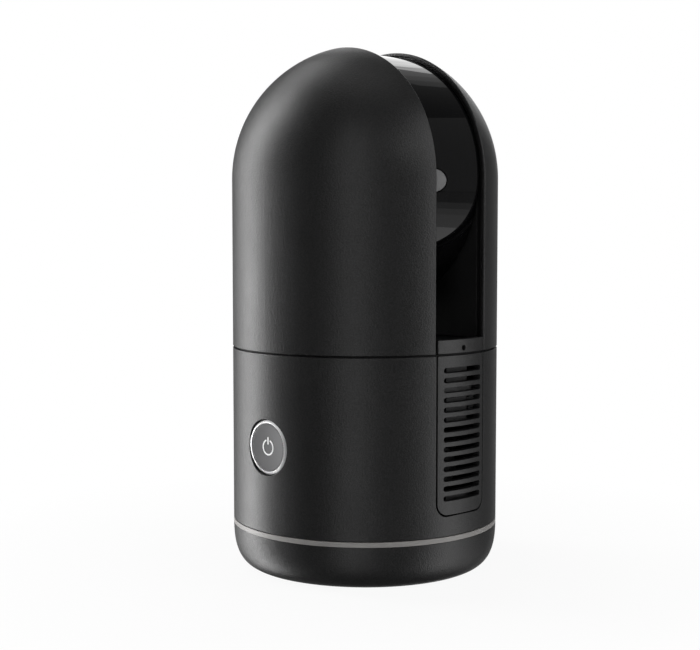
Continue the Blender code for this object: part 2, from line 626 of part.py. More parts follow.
def build_battery(base, swing):
    """Battery in its tray, the contact block at its inner end, and the hinged door."""
    half = BATTERY_WIDTH / 2
    tray = piece("battery_tray", rod(INNER_RADIUS - FIT_GAP, TRAY_BOTTOM, TRAY_TOP, BODY_SEGMENTS // 2),
                 Finish.INNER_BLACK, base)
    for side in (-1, 1):
        near, far = half + FIT_GAP, half + FIT_GAP + TRAY_WALL
        fuse(tray, block((BATTERY_START, min(side * near, side * far), TRAY_TOP - TRAY_FLOOR / 2),
                         (BATTERY_END, max(side * near, side * far), BAY_TOP)))
    outline = rounded(-half, half, BAY_BOTTOM, BAY_BOTTOM + BATTERY_HEIGHT, [BATTERY_CORNER] * 4)
    piece("battery", prism(outline, BATTERY_START, BATTERY_END, "X"), Finish.CELL, base)
    piece("contact_block", block((BATTERY_START - FIT_GAP - CONTACT_LENGTH, -half / 2, BAY_BOTTOM),
                                 (BATTERY_START - FIT_GAP, half / 2, BAY_BOTTOM + BATTERY_HEIGHT)),
          Finish.INNER_BLACK, base)

    hinge = (HINGE_X, HINGE_Y, 0.0)
    far = BODY_RADIUS + CUT_MARGIN
    door_corner = DOOR_CORNER - FIT_GAP
    doorway = rounded(-HINGE_Y, HINGE_Y, DOOR_BOTTOM, DOOR_TOP, (door_corner, 0.0, 0.0, door_corner))
    door = piece("battery_door", prism(doorway, BATTERY_END, far, "X"), Finish.BODY_BLACK, swing)
    keep_inside(door, tube(INNER_RADIUS, BODY_RADIUS, DOOR_BOTTOM - CUT_MARGIN, DOOR_TOP + CUT_MARGIN,
                           BODY_SEGMENTS))
    fuse(door, rod(SHELL_WALL / 2, DOOR_BOTTOM, DOOR_TOP, SMALL_SEGMENTS, "Z", hinge))
    cut(door, rod(HINGE_PIN_RADIUS + FIT_GAP, DOOR_BOTTOM - CUT_MARGIN, DOOR_TOP + CUT_MARGIN,
                  SMALL_SEGMENTS, "Z", hinge))
    notch_y = -HINGE_Y + FINGER_NOTCH_RADIUS / 2
    notch_x = math.sqrt(BODY_RADIUS ** 2 - notch_y ** 2)
    notch = rod(FINGER_NOTCH_RADIUS, -FINGER_NOTCH_DEPTH, CUT_MARGIN, RING_SEGMENTS)
    turned_by(notch, math.pi / 2, "Y")
    turned_by(notch, math.atan2(notch_y, notch_x), "Z")
    bmesh.ops.translate(notch, verts=notch.verts, vec=(notch_x, notch_y, (DOOR_BOTTOM + DOOR_TOP) / 2))
    cut(door, notch)
    piece("door_hinge_pin", rod(HINGE_PIN_RADIUS, DOOR_BOTTOM - HINGE_PIN_REACH, DOOR_TOP + HINGE_PIN_REACH,
                                SMALL_SEGMENTS, "Z", hinge), Finish.STEEL, base)


def build_cooling(base, spin):
    """Main board with its heat sink, and the fan behind the front vents."""
    half = MAIN_BOARD_WIDTH / 2
    front = FAN_BACK + RUN_GAP
    board = piece("main_board", block((-half, front, MAIN_BOARD_BOTTOM),
                                      (half, front + MAIN_BOARD_LENGTH, MAIN_BOARD_TOP)), Finish.BOARD, base)
    chip = CHIP_SIZE / 2
    board_middle = front + MAIN_BOARD_LENGTH / 2
    fuse(board, joined([block((x - chip, board_middle - chip, MAIN_BOARD_TOP - BOARD_THICKNESS / 2),
                              (x + chip, board_middle + chip, MAIN_BOARD_TOP + CHIP_HEIGHT))
                        for x in (-CHIP_SPACING / 2, CHIP_SPACING / 2)]))
    sink_low = MAIN_BOARD_TOP + FIT_GAP
    sink_top = sink_low + HEAT_SINK_HEIGHT
    step = HEAT_SINK_WIDTH / (2 * HEAT_SINK_FINS - 1)
    comb = [(-HEAT_SINK_WIDTH / 2, sink_low), (HEAT_SINK_WIDTH / 2, sink_low)]
    for fin in range(HEAT_SINK_FINS):
        right = HEAT_SINK_WIDTH / 2 - 2 * fin * step
        comb += [(right, sink_top), (right - step, sink_top)]
        if fin < HEAT_SINK_FINS - 1:
            comb += [(right - step, sink_low + HEAT_SINK_BASE), (right - 2 * step, sink_low + HEAT_SINK_BASE)]
    piece("heat_sink", prism(comb, front, front + HEAT_SINK_LENGTH, "Y"), Finish.ALUMINIUM, base)

    centre = (0.0, 0.0, FAN_Z)
    side = FAN_SIZE / 2
    bore = side - FAN_WALL
    frame = piece("fan_frame", block((-side, FAN_FRONT, FAN_Z - side), (side, FAN_BACK, FAN_Z + side)),
                  Finish.INNER_BLACK, base)
    cut(frame, rod(bore, FAN_FRONT - CUT_MARGIN, FAN_BACK + CUT_MARGIN, RING_SEGMENTS, "Y", centre))
    fuse(frame, rod(FAN_HUB_RADIUS, FAN_BACK - FAN_SPIDER, FAN_BACK - FIT_GAP / 2, SMALL_SEGMENTS, "Y", centre))
    arm = FAN_SPIDER / 2
    reach = bore + FAN_WALL / 2
    fuse(frame, block((-reach, FAN_BACK - FAN_SPIDER, FAN_Z - arm), (reach, FAN_BACK - FIT_GAP, FAN_Z + arm)))
    fuse(frame, block((-arm, FAN_BACK - FAN_SPIDER, FAN_Z - reach), (arm, FAN_BACK - FIT_GAP, FAN_Z + reach)))

    low, high = FAN_FRONT + RUN_GAP, FAN_BACK - FAN_SPIDER - FIT_GAP
    rotor = piece("fan_rotor", rod(FAN_HUB_RADIUS, low, high, SMALL_SEGMENTS, "Y", centre), Finish.INNER_BLACK,
                  spin)
    chord = (high - low - RUN_GAP) / math.cos(math.radians(FAN_BLADE_TILT)) / 2 - FAN_BLADE_THICKNESS
    blades = []
    for turn in range(FAN_BLADE_COUNT):
        blade = block((FAN_HUB_RADIUS - FAN_WALL, -chord, -FAN_BLADE_THICKNESS / 2),
                      (bore - RUN_GAP - FAN_BLADE_THICKNESS, chord, FAN_BLADE_THICKNESS / 2))
        turned_by(blade, math.radians(FAN_BLADE_TILT), "X")
        turned_by(blade, 2 * math.pi * turn / FAN_BLADE_COUNT, "Y")
        bmesh.ops.translate(blade, verts=blade.verts, vec=(0.0, (low + high) / 2, FAN_Z))
        blades.append(blade)
    fuse(rotor, joined(blades))


def build_turning_drive(base, head):
    """Deck, bearing, ring motor, encoder and slip ring between base and head."""
    piece("base_deck", tube(BEARING_OUTER_RADIUS + FIT_GAP, INNER_RADIUS - FIT_GAP, DECK_BOTTOM, DECK_TOP,
                            BODY_SEGMENTS // 2), Finish.ALUMINIUM, base)
    bearing_top = DECK_BOTTOM + BEARING_HEIGHT
    piece("azimuth_bearing_outer", tube(BEARING_GAP_RADIUS + RUN_GAP, BEARING_OUTER_RADIUS, DECK_BOTTOM,
                                        bearing_top, RING_SEGMENTS), Finish.STEEL, base)
    piece("azimuth_bearing_inner", tube(BEARING_INNER_RADIUS, BEARING_GAP_RADIUS, DECK_BOTTOM, bearing_top,
                                        RING_SEGMENTS), Finish.STEEL, head)
    on_deck = DECK_TOP + FIT_GAP
    stator_outer = STATOR_INNER_RADIUS + STATOR_WIDTH
    piece("azimuth_stator", tube(STATOR_INNER_RADIUS, stator_outer, on_deck, on_deck + STATOR_HEIGHT,
                                 RING_SEGMENTS), Finish.COPPER, base)
    under_table = TURNTABLE_BOTTOM - FIT_GAP
    magnet_inner = stator_outer + RUN_GAP
    piece("azimuth_rotor", tube(magnet_inner, magnet_inner + MAGNET_WIDTH, under_table - MAGNET_HEIGHT,
                                under_table, RING_SEGMENTS), Finish.STEEL, head)
    flange_bottom = under_table - SHAFT_FLANGE
    shaft_bottom = DECK_BOTTOM - SHAFT_DROP
    piece("azimuth_shaft", turned([
        (SHAFT_BORE, shaft_bottom), (SHAFT_RADIUS, shaft_bottom), (SHAFT_RADIUS, flange_bottom),
        (SHAFT_FLANGE_RADIUS, flange_bottom), (SHAFT_FLANGE_RADIUS, under_table), (SHAFT_BORE, under_table)],
        RING_SEGMENTS), Finish.STEEL, head)
    disc_low = under_table - SHAFT_FLANGE / 2
    piece("azimuth_code_disc", tube(SHAFT_FLANGE_RADIUS + FIT_GAP, CODE_DISC_RADIUS, disc_low,
                                    disc_low + CODE_DISC_THICKNESS, RING_SEGMENTS), Finish.GLASS, head)
    reader_y = BEARING_OUTER_RADIUS + RUN_GAP
    piece("azimuth_reader", block((-READER_SIZE / 2, reader_y, on_deck),
                                  (READER_SIZE / 2, reader_y + READER_SIZE, disc_low - RUN_GAP)),
          Finish.INNER_BLACK, base)
    slip_inner = SHAFT_RADIUS + FIT_GAP
    slip_outer = slip_inner + SLIP_RING_WIDTH
    slip_top = DECK_BOTTOM - RUN_GAP
    piece("slip_ring", tube(slip_inner, slip_outer, shaft_bottom, slip_top, RING_SEGMENTS), Finish.COPPER, head)
    brush_x = slip_outer + RUN_GAP
    piece("slip_ring_brushes", block((brush_x, -BRUSH_WIDTH / 2, shaft_bottom),
                                     (brush_x + BRUSH_LENGTH, BRUSH_WIDTH / 2, DECK_BOTTOM - FIT_GAP)),
          Finish.INNER_BLACK, base)


def build_shells(head):
    """Turntable, the two half-dome shells and the lips that close the slot's foot."""
    piece("turntable", tube(SHAFT_BORE, INNER_RADIUS - FIT_GAP, TURNTABLE_BOTTOM, TURNTABLE_TOP, BODY_SEGMENTS),
          Finish.INNER_BLACK, head)
    profile = [(BODY_RADIUS, HEAD_BOTTOM), *dome_run(0.0, DOME_STEPS)]
    profile += [*dome_run(SHELL_WALL, DOME_STEPS)[::-1], (INNER_RADIUS, HEAD_BOTTOM)]
    wide = BODY_RADIUS + CUT_MARGIN
    for name, side in (("left_shell", -1), ("right_shell", 1)):
        shell = piece(name, turned(profile, BODY_SEGMENTS), Finish.BODY_BLACK, head)
        edge, other = side * HALF_SLOT, -side * wide
        cut(shell, block((min(edge, other), -wide, HEAD_BOTTOM - CUT_MARGIN),
                         (max(edge, other), wide, CROWN + CUT_MARGIN)))
    half = HALF_SLOT - PANEL_GAP
    for name, side in (("front_lip", -1), ("rear_lip", 1)):
        near, far = side * (INNER_RADIUS - HALF_SLOT), side * wide
        lip = piece(name, block((-half, min(near, far), HEAD_BOTTOM),
                                (half, max(near, far), HEAD_BOTTOM + LIP_HEIGHT)), Finish.BODY_BLACK, head)
        keep_inside(lip, tube(INNER_RADIUS, BODY_RADIUS, HEAD_BOTTOM - CUT_MARGIN,
                              HEAD_BOTTOM + LIP_HEIGHT + CUT_MARGIN, BODY_SEGMENTS))
        if side < 0:
            cut(lip, rod(SENSOR_HOLE_RADIUS, far, near, SMALL_SEGMENTS, "Y",
                         (0.0, 0.0, HEAD_BOTTOM + SENSOR_HOLE_HEIGHT)))


def build_slot_walls(head):
    """Flat inner walls of the slot, which carry the laser on the left and the spin motor on the right."""
    centre = (0.0, 0.0, DRUM_AXIS)
    wide = BODY_RADIUS + CUT_MARGIN
    inside = [(0.0, HEAD_FLOOR), (INNER_RADIUS - FIT_GAP, HEAD_FLOOR)]
    inside += dome_run(SHELL_WALL + FIT_GAP, DOME_STEPS)
    for name, side in (("left_wall", -1), ("right_wall", 1)):
        face, back = side * WALL_FACE, side * WALL_BACK
        wall = piece(name, block((min(face, back), -wide, HEAD_FLOOR - CUT_MARGIN),
                                 (max(face, back), wide, CROWN)), Finish.INNER_BLACK, head)
        keep_inside(wall, turned(inside, BODY_SEGMENTS))
        hole = BARREL_RADIUS + FIT_GAP
        if side > 0:
            hole = BEARING_HOLE_RADIUS + FIT_GAP
            fuse(wall, rod(hole + BEARING_BOSS_WALL, (WALL_FACE + WALL_BACK) / 2,
                           WALL_BACK + BEARING_BOSS_LENGTH, RING_SEGMENTS, "X", centre))
        reach = WALL_BACK + BEARING_BOSS_LENGTH + CUT_MARGIN
        cut(wall, rod(hole, min(0.0, side * reach), max(0.0, side * reach), RING_SEGMENTS, "X", centre))


def build_range_finder(head):
    """Laser module, lens barrel, lens and boards that stand beside the slot."""
    centre = (0.0, 0.0, DRUM_AXIS)
    module_face = -(WALL_BACK + FIT_GAP)
    module_back = module_face - LASER_LENGTH
    half_width, half_height = LASER_WIDTH / 2, LASER_HEIGHT / 2
    outline = rounded(-half_width, half_width, DRUM_AXIS - half_height, DRUM_AXIS + half_height,
                      [BATTERY_CORNER / 2] * 4, 3)
    piece("laser_module", prism(outline, module_back, module_face, "X"), Finish.ALUMINIUM, head)
    board_edge = module_back - FIT_GAP
    piece("laser_board", block((board_edge - BOARD_THICKNESS, -half_width, DRUM_AXIS - half_height),
                               (board_edge, half_width, DRUM_AXIS + half_height)), Finish.BOARD, head)
    bore = BARREL_RADIUS - BARREL_WALL
    piece("lens_barrel", tube(bore, BARREL_RADIUS, -WALL_BACK, -WALL_FACE, RING_SEGMENTS, "X", centre),
          Finish.ALUMINIUM, head)
    lens_radius = bore - FIT_GAP
    middle = -(WALL_FACE + WALL_BACK) / 2
    crown = LENS_THICKNESS / 2
    piece("receiver_lens", turned([
        (0.0, middle - crown), (lens_radius / 2, middle - 0.85 * crown), (lens_radius, middle - crown / 2),
        (lens_radius, middle + crown / 2), (lens_radius / 2, middle + 0.85 * crown), (0.0, middle + crown)],
        SMALL_SEGMENTS, "X", centre), Finish.GLASS, head)
    board_face = WALL_BACK + FIT_GAP
    half_board = HEAD_BOARD_WIDTH / 2
    board_back = board_face + BOARD_THICKNESS
    board = piece("head_board", block((board_face, -half_board, HEAD_FLOOR),
                                      (board_back, half_board, HEAD_FLOOR + HEAD_BOARD_HEIGHT)),
                  Finish.BOARD, head)
    chip = CHIP_SIZE / 2
    board_middle = HEAD_FLOOR + HEAD_BOARD_HEIGHT / 2
    fuse(board, joined([block((board_back - BOARD_THICKNESS / 2, y - chip, board_middle - chip),
                              (board_back + CHIP_HEIGHT, y + chip, board_middle + chip))
                        for y in (-CHIP_SPACING / 2, CHIP_SPACING / 2)]))


def build_drum(head, spin):
    """Hollow drum with its window, cover, mirror, spindle and spin motor."""
    centre = (0.0, 0.0, DRUM_AXIS)
    bore = SPINDLE_RADIUS + FIT_GAP
    web = DRUM_HALF - DRUM_WEB
    hub_end = web - DRUM_HUB_LENGTH
    edge = DRUM_EDGE
    drum = piece("drum_shell", turned([
        (bore, DRUM_HALF), (DRUM_RADIUS - edge, DRUM_HALF), (DRUM_RADIUS, DRUM_HALF - edge),
        (DRUM_RADIUS, edge - DRUM_HALF), (DRUM_RADIUS - edge, -DRUM_HALF), (DRUM_INNER_RADIUS, -DRUM_HALF),
        (DRUM_INNER_RADIUS, web), (DRUM_HUB_RADIUS, web), (DRUM_HUB_RADIUS, hub_end), (bore, hub_end)],
        DRUM_SEGMENTS, "X", centre), Finish.GLOSS_BLACK, spin)
    window_centre = (-DRUM_HALF, DRUM_AXIS - WINDOW_DROP)
    depth = DRUM_INNER_RADIUS - WINDOW_HALF_HEIGHT
    cut(drum, prism(ellipse(window_centre, WINDOW_WIDTH, WINDOW_HALF_HEIGHT, SMALL_SEGMENTS),
                    -DRUM_RADIUS - CUT_MARGIN, -depth, "Y"))
    window = piece("drum_window", prism(
        ellipse(window_centre, WINDOW_WIDTH - FIT_GAP, WINDOW_HALF_HEIGHT - FIT_GAP, SMALL_SEGMENTS),
        -DRUM_RADIUS - CUT_MARGIN, -depth, "Y"), Finish.GLASS, spin)
    keep_inside(window, tube(DRUM_INNER_RADIUS, DRUM_RADIUS - WINDOW_SINK, -DRUM_HALF, DRUM_HALF,
                             DRUM_SEGMENTS, "X", centre))
    piece("drum_cover", tube(COVER_BORE_RADIUS, DRUM_INNER_RADIUS - FIT_GAP, -DRUM_HALF,
                             COVER_THICKNESS - DRUM_HALF, DRUM_SEGMENTS, "X", centre), Finish.GLOSS_BLACK, spin)
    mirror = piece("scan_mirror", rod(MIRROR_RADIUS, -DRUM_HALF, hub_end - FIT_GAP,
                                      SMALL_SEGMENTS, "X", centre), Finish.MIRROR, spin)
    reach = 2 * DRUM_HALF
    face = [(-MIRROR_CENTRE - reach, reach), (-MIRROR_CENTRE - reach, -reach), (-MIRROR_CENTRE + reach, -reach)]
    cut(mirror, prism(face, DRUM_AXIS - reach, DRUM_AXIS + reach, "Z"))

    bearing_end = WALL_BACK + BEARING_BOSS_LENGTH
    motor_start = bearing_end + FIT_GAP
    motor_end = motor_start + MOTOR_END + MOTOR_LENGTH
    disc_start = motor_end + RUN_GAP
    spindle_end = disc_start + 2 * CODE_DISC_THICKNESS
    piece("mirror_spindle", rod(SPINDLE_RADIUS, hub_end, spindle_end, SMALL_SEGMENTS, "X", centre),
          Finish.STEEL, spin)
    piece("spindle_bearing", tube(SPINDLE_RADIUS + RUN_GAP, BEARING_HOLE_RADIUS, WALL_FACE, bearing_end,
                                  RING_SEGMENTS, "X", centre), Finish.STEEL, head)
    stator_bore = MOTOR_ROTOR_RADIUS + RUN_GAP
    stator_radius = stator_bore + MOTOR_WALL
    end_bore = SPINDLE_RADIUS + 2 * RUN_GAP
    piece("spin_motor_stator", turned([
        (end_bore, motor_start), (stator_radius, motor_start), (stator_radius, motor_end),
        (stator_bore, motor_end), (stator_bore, motor_start + MOTOR_END), (end_bore, motor_start + MOTOR_END)],
        RING_SEGMENTS, "X", centre), Finish.COPPER, head)
    piece("spin_motor_rotor", tube(bore, MOTOR_ROTOR_RADIUS, motor_start + MOTOR_END + RUN_GAP, motor_end,
                                   RING_SEGMENTS, "X", centre), Finish.STEEL, spin)
    piece("spin_code_disc", tube(bore, SPIN_CODE_RADIUS, disc_start, disc_start + CODE_DISC_THICKNESS,
                                 RING_SEGMENTS, "X", centre), Finish.GLASS, spin)


def main():
    """Build every sub-assembly on the empty that carries it."""
    clear_scene()
    base = pivot("base_origin", (0.0, 0.0, 0.0))
    head = pivot("head_axis", (0.0, 0.0, HEAD_BOTTOM))
    drum = pivot("drum_axis", (0.0, 0.0, DRUM_AXIS))
    fan = pivot("fan_axis", (0.0, (FAN_FRONT + FAN_BACK) / 2, FAN_Z))
    press = pivot("button_axis", (-BUTTON_FACE, 0.0, BUTTON_HEIGHT))
    swing = pivot("door_axis", (HINGE_X, HINGE_Y, (DOOR_BOTTOM + DOOR_TOP) / 2))
    build_foot(base)
    build_light_ring(base)
    build_housing(base)
    build_vent_panels(base)
    build_button(base, press)
    build_battery(base, swing)
    build_cooling(base, fan)
    build_turning_drive(base, head)
    build_shells(head)
    build_slot_walls(head)
    build_range_finder(head)
    build_drum(head, drum)


main()
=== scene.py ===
"""Looks of a pocket terrestrial laser scanner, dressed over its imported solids.

Metres, +Z up. The turning axis is Z, the slot opens to -Y and +Y, and the power button is on the -X side.
"""
import json
import logging
import math
from dataclasses import dataclass, field
from enum import Enum
from typing import Callable, Optional, Sequence

import bmesh
import bpy
import numpy as np
from mathutils import Matrix, Vector
from mathutils.geometry import delaunay_2d_cdt


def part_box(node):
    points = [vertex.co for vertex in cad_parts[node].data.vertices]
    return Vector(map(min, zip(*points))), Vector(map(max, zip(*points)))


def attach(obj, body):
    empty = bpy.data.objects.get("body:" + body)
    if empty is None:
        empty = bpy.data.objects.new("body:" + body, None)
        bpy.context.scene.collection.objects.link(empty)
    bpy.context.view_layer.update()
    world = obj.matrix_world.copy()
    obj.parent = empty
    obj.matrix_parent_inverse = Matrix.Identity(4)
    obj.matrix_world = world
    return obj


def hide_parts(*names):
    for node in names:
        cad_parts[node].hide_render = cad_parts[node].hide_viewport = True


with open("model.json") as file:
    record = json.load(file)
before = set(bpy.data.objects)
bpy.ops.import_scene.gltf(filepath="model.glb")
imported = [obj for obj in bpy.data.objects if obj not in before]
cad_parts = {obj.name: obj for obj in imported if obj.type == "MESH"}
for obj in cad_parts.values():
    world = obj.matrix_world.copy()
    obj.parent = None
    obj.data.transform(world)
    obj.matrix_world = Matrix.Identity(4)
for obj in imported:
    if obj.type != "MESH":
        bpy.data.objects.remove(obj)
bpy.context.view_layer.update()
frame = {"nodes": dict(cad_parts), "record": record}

LOG = logging.getLogger("scanner")
MM = 0.001
MERGE = 1e-7
FINE_EDGE = 0.1 * MM
SMALL_EDGE = 0.2 * MM
SOFT_EDGE = 0.3 * MM
OVERCUT = 1.0 * MM
LONGEST_ROUNDING = 0.49
FLAT_MERGE = 1e-9
ON_FACE = 0.002 * MM
FACES_OUT = 0.9
NOISE_RANGE = (0.3, 0.7)
TINT_RANGE = (0.35, 0.65)

Point = tuple[float, float]
Corner = tuple[float, float, float]
Loop = list[Point]
Colour = tuple[float, float, float]
Place = Callable[[float, float, float], Vector]
Shape = bmesh.types.BMesh
Piece = bpy.types.Object
Material = bpy.types.Material
Socket = bpy.types.NodeSocket


class Slot(Enum):
    """Material slots of the record."""

    BODY = "body_black"
    GLOSS = "gloss_black"
    INNER = "inner_black"
    BAND = "light_band"
    SILVER = "silver"
    BUTTON = "button_grey"
    RUBBER = "rubber"
    STEEL = "steel"
    ALUMINIUM = "aluminium"
    WINDING = "winding"
    BOARD = "circuit_board"
    CELL = "battery_case"
    GLASS = "window_glass"
    MIRROR = "mirror"


class Body(Enum):
    """Bodies that pieces ride on."""

    BASE = "base"
    HEAD = "head"
    DRUM = "drum"
    BUTTON = "button"
    DOOR = "door"


class End(Enum):
    """Lower or higher end of a solid's box."""

    LOW = 0
    HIGH = 1


class Axis(Enum):
    """Axis that a turned piece is spun about."""

    X = 0
    Y = 1
    Z = 2

    def place(self, radius: float, along: float, angle: float) -> Vector:
        """Position of a profile point after a turn about this axis.

        Args:
            radius: Distance from the axis.
            along: Distance along the axis.
            angle: Turn in radians.

        Returns:
            The position.
        """
        first, second = radius * math.cos(angle), radius * math.sin(angle)
        return Vector({Axis.X: (along, first, second), Axis.Y: (second, along, first),
                       Axis.Z: (first, second, along)}[self])

    def across(self) -> Corner:
        """Mask that keeps the two directions square to this axis."""
        return tuple(0.0 if index == self.value else 1.0 for index in range(3))


class NodeWork:
    """Short calls for building any node tree."""

    def __init__(self, tree: bpy.types.NodeTree) -> None:
        """Work on the given tree."""
        self.tree = tree

    def add(self, kind: str, feeds: Optional[dict] = None, **settings: object) -> bpy.types.Node:
        """Add a node.

        Args:
            kind: Blender's name of the node type.
            feeds: Socket or plain value that goes into each input, by the input's name or number.
            settings: Properties set on the node.

        Returns:
            The new node.
        """
        node = self.tree.nodes.new(kind)
        for key, value in settings.items():
            setattr(node, key, value)
        for socket, source in (feeds or {}).items():
            self.feed(node, socket, source)
        return node

    def feed(self, node: bpy.types.Node, socket: str | int, source: object) -> None:
        """Set an input from a socket, or to a plain value.

        Args:
            node: Node that has the input.
            socket: Name or number of the input.
            source: Socket or plain value.
        """
        if isinstance(source, Socket):
            self.tree.links.new(source, node.inputs[socket])
        else:
            node.inputs[socket].default_value = source

    def math(self, operation: str, *sources: object) -> Socket:
        """Result of one sum over sockets and plain numbers."""
        return self.add("ShaderNodeMath", dict(enumerate(sources)), operation=operation).outputs[0]

    def vector(self, *parts: object) -> Socket:
        """Vector of three sockets or plain numbers."""
        return self.add("ShaderNodeCombineXYZ", dict(enumerate(parts))).outputs[0]

    def spread(self, factor: Socket, values: Point, span: Point = NOISE_RANGE,
               curve: str = "LINEAR") -> Socket:
        """Map a factor onto a range of values.

        Args:
            factor: What is mapped.
            values: Values at the two ends.
            span: Range of the factor.
            curve: Blender's name of the way between the ends.

        Returns:
            The result.
        """
        feeds = {"Value": factor, "From Min": span[0], "From Max": span[1],
                 "To Min": values[0], "To Max": values[1]}
        return self.add("ShaderNodeMapRange", feeds, interpolation_type=curve).outputs["Result"]


class NodeSheet(NodeWork):
    """Node tree of one material, with short calls for what the finishes share."""

    def __init__(self, name: str) -> None:
        """Start a material whose tree holds a Principled shader and its output.

        Args:
            name: Name of the material.
        """
        self.material = bpy.data.materials.new(name)
        self.material.use_nodes = True
        super().__init__(self.material.node_tree)
        self.shader = self.tree.nodes["Principled BSDF"]

    def plain(self, **values: object) -> None:
        """Set constant values on the Principled shader, with _ for the blanks in socket names."""
        for key, value in values.items():
            self.shader.inputs[key.replace("_", " ")].default_value = value

    def coordinates(self, stretch: Sequence[float] = (1, 1, 1), shift: Sequence[float] = (0, 0, 0)) -> Socket:
        """Object coordinates, moved and then stretched.

        Args:
            stretch: Factor along X, Y and Z.
            shift: Move before the stretch, in metres.

        Returns:
            The vector.
        """
        return self.add("ShaderNodeMapping", {
            "Vector": self.add("ShaderNodeTexCoord").outputs["Object"],
            "Location": [move * factor for move, factor in zip(shift, stretch)],
            "Scale": tuple(stretch)}).outputs["Vector"]

    def noise(self, size: float, detail: float = 2.0, vector: Optional[Socket] = None) -> Socket:
        """Noise whose features have about the given size in metres.

        Args:
            size: Feature size.
            detail: Octaves.
            vector: Coordinates, or none for plain Object coordinates.

        Returns:
            The noise's factor.
        """
        feeds = {"Vector": vector or self.coordinates(), "Scale": 1.0 / size, "Detail": detail}
        return self.add("ShaderNodeTexNoise", feeds).outputs["Fac"]

    def tint(self, factor: Socket, colour: Colour, shades: Point) -> Socket:
        """Blend a darker and a lighter shade of a colour.

        Args:
            factor: What drives the blend.
            colour: The colour.
            shades: Factors of the darker and the lighter shade.

        Returns:
            The blended colour.
        """
        node = self.add("ShaderNodeValToRGB", {"Fac": factor})
        for stop, place, level in zip(node.color_ramp.elements, TINT_RANGE, shades):
            stop.position = place
            stop.color = (*shade(colour, level), 1.0)
        return node.outputs["Color"]

    def relief(self, height: Socket, depth: float) -> Socket:
        """Bump of the given depth in metres."""
        feeds = {"Height": height, "Distance": depth, "Strength": 1.0}
        return self.add("ShaderNodeBump", feeds).outputs["Normal"]

    def radius(self, axis: Axis, centre: Sequence[float]) -> Socket:
        """Distance from an axis through a point."""
        away = self.coordinates(axis.across(), [-part for part in centre])
        return self.add("ShaderNodeVectorMath", {"Vector": away}, operation="LENGTH").outputs["Value"]

    def done(self, colour: object, roughness: object, normal: Optional[Socket] = None) -> Material:
        """Feed the shader's main inputs.

        Args:
            colour: Socket or plain colour.
            roughness: Socket or plain number.
            normal: Bump, where there is one.

        Returns:
            The material.
        """
        self.feed(self.shader, "Base Color", colour)
        self.feed(self.shader, "Roughness", roughness)
        if normal is not None:
            self.feed(self.shader, "Normal", normal)
        return self.material


def shade(colour: Colour, factor: float) -> Colour:
    """A colour made darker or lighter by a factor."""
    return tuple(min(1.0, part * factor) for part in colour)


@dataclass(frozen=True)
class Finish:
    """What every finish has: a name, a colour, a roughness and how far these two wander."""

    name: str
    colour: Colour
    roughness: float
    shades: Point = (1.0, 1.0)
    wander: Point = (0.0, 0.0)

    def material(self) -> Material:
        """The finish's material, made once."""
        return bpy.data.materials.get(self.name) or self.paint(NodeSheet(self.name))

    def paint(self, sheet: NodeSheet) -> Material:
        """Fill in the node tree; each finish has its own."""
        raise NotImplementedError

    def coat(self, sheet: NodeSheet, tinting: Socket, wearing: Socket,
             normal: Optional[Socket] = None) -> Material:
        """Let the colour and the roughness wander.

        Args:
            sheet: The material's node tree.
            tinting: What drives the colour.
            wearing: What drives the roughness.
            normal: Bump, where there is one.

        Returns:
            The material.
        """
        roughness = (self.roughness - self.wander[0], self.roughness + self.wander[1])
        colour = sheet.tint(tinting, self.colour, self.shades)
        return sheet.done(colour, sheet.spread(wearing, roughness), normal)


@dataclass(frozen=True)
class SatinPlastic(Finish):
    """Moulded plastic with a fine spark-eroded grain."""

    shades: Point = (0.78, 1.22)
    wander: Point = (0.03, 0.03)
    grain: float = 0.32 * MM
    depth: float = 0.012 * MM
    drift: float = 60.0
    specular: float = 0.5

    def paint(self, sheet: NodeSheet) -> Material:
        """Grain in colour and bump, with a slow drift in roughness.

        Args:
            sheet: The material's node tree.

        Returns:
            The material.
        """
        fine = sheet.noise(self.grain, 3.0)
        sheet.plain(Specular_IOR_Level=self.specular)
        return self.coat(sheet, fine, sheet.noise(self.drift * self.grain), sheet.relief(fine, self.depth))


@dataclass(frozen=True)
class PolishedPlastic(Finish):
    """Polished plastic with a faint mould ripple and wiping marks."""

    shades: Point = (0.8, 1.2)
    wander: Point = (0.0, 0.02)
    smear: float = 2.0 * MM
    stretch: Corner = (1.0, 0.2, 0.2)
    ripple: float = 9.0 * MM
    depth: float = 0.003 * MM

    def paint(self, sheet: NodeSheet) -> Material:
        """Smears in roughness and a ripple too shallow to blur the reflections.

        Args:
            sheet: The material's node tree.

        Returns:
            The material.
        """
        marks = sheet.noise(self.smear, 4.0, sheet.coordinates(self.stretch))
        return self.coat(sheet, marks, marks, sheet.relief(sheet.noise(self.ripple, 1.0), self.depth))


@dataclass(frozen=True)
class TurnedMetal(Finish):
    """Metal with the fine rings that a lathe tool leaves."""

    shades: Point = (0.92, 1.06)
    wander: Point = (0.05, 0.07)
    axis: Axis = Axis.Z
    centre: Corner = (0.0, 0.0, 0.0)
    feed: float = 0.09 * MM
    depth: float = 0.002 * MM
    stain: float = 6.0 * MM

    def paint(self, sheet: NodeSheet) -> Material:
        """Rings from a one-dimensional noise along the radius.

        Args:
            sheet: The material's node tree.

        Returns:
            The material.
        """
        feeds = {"W": sheet.radius(self.axis, self.centre), "Scale": 1.0 / self.feed}
        rings = sheet.add("ShaderNodeTexNoise", feeds, noise_dimensions="1D").outputs["Fac"]
        sheet.plain(Metallic=1.0)
        return self.coat(sheet, sheet.noise(self.stain), rings, sheet.relief(rings, self.depth))


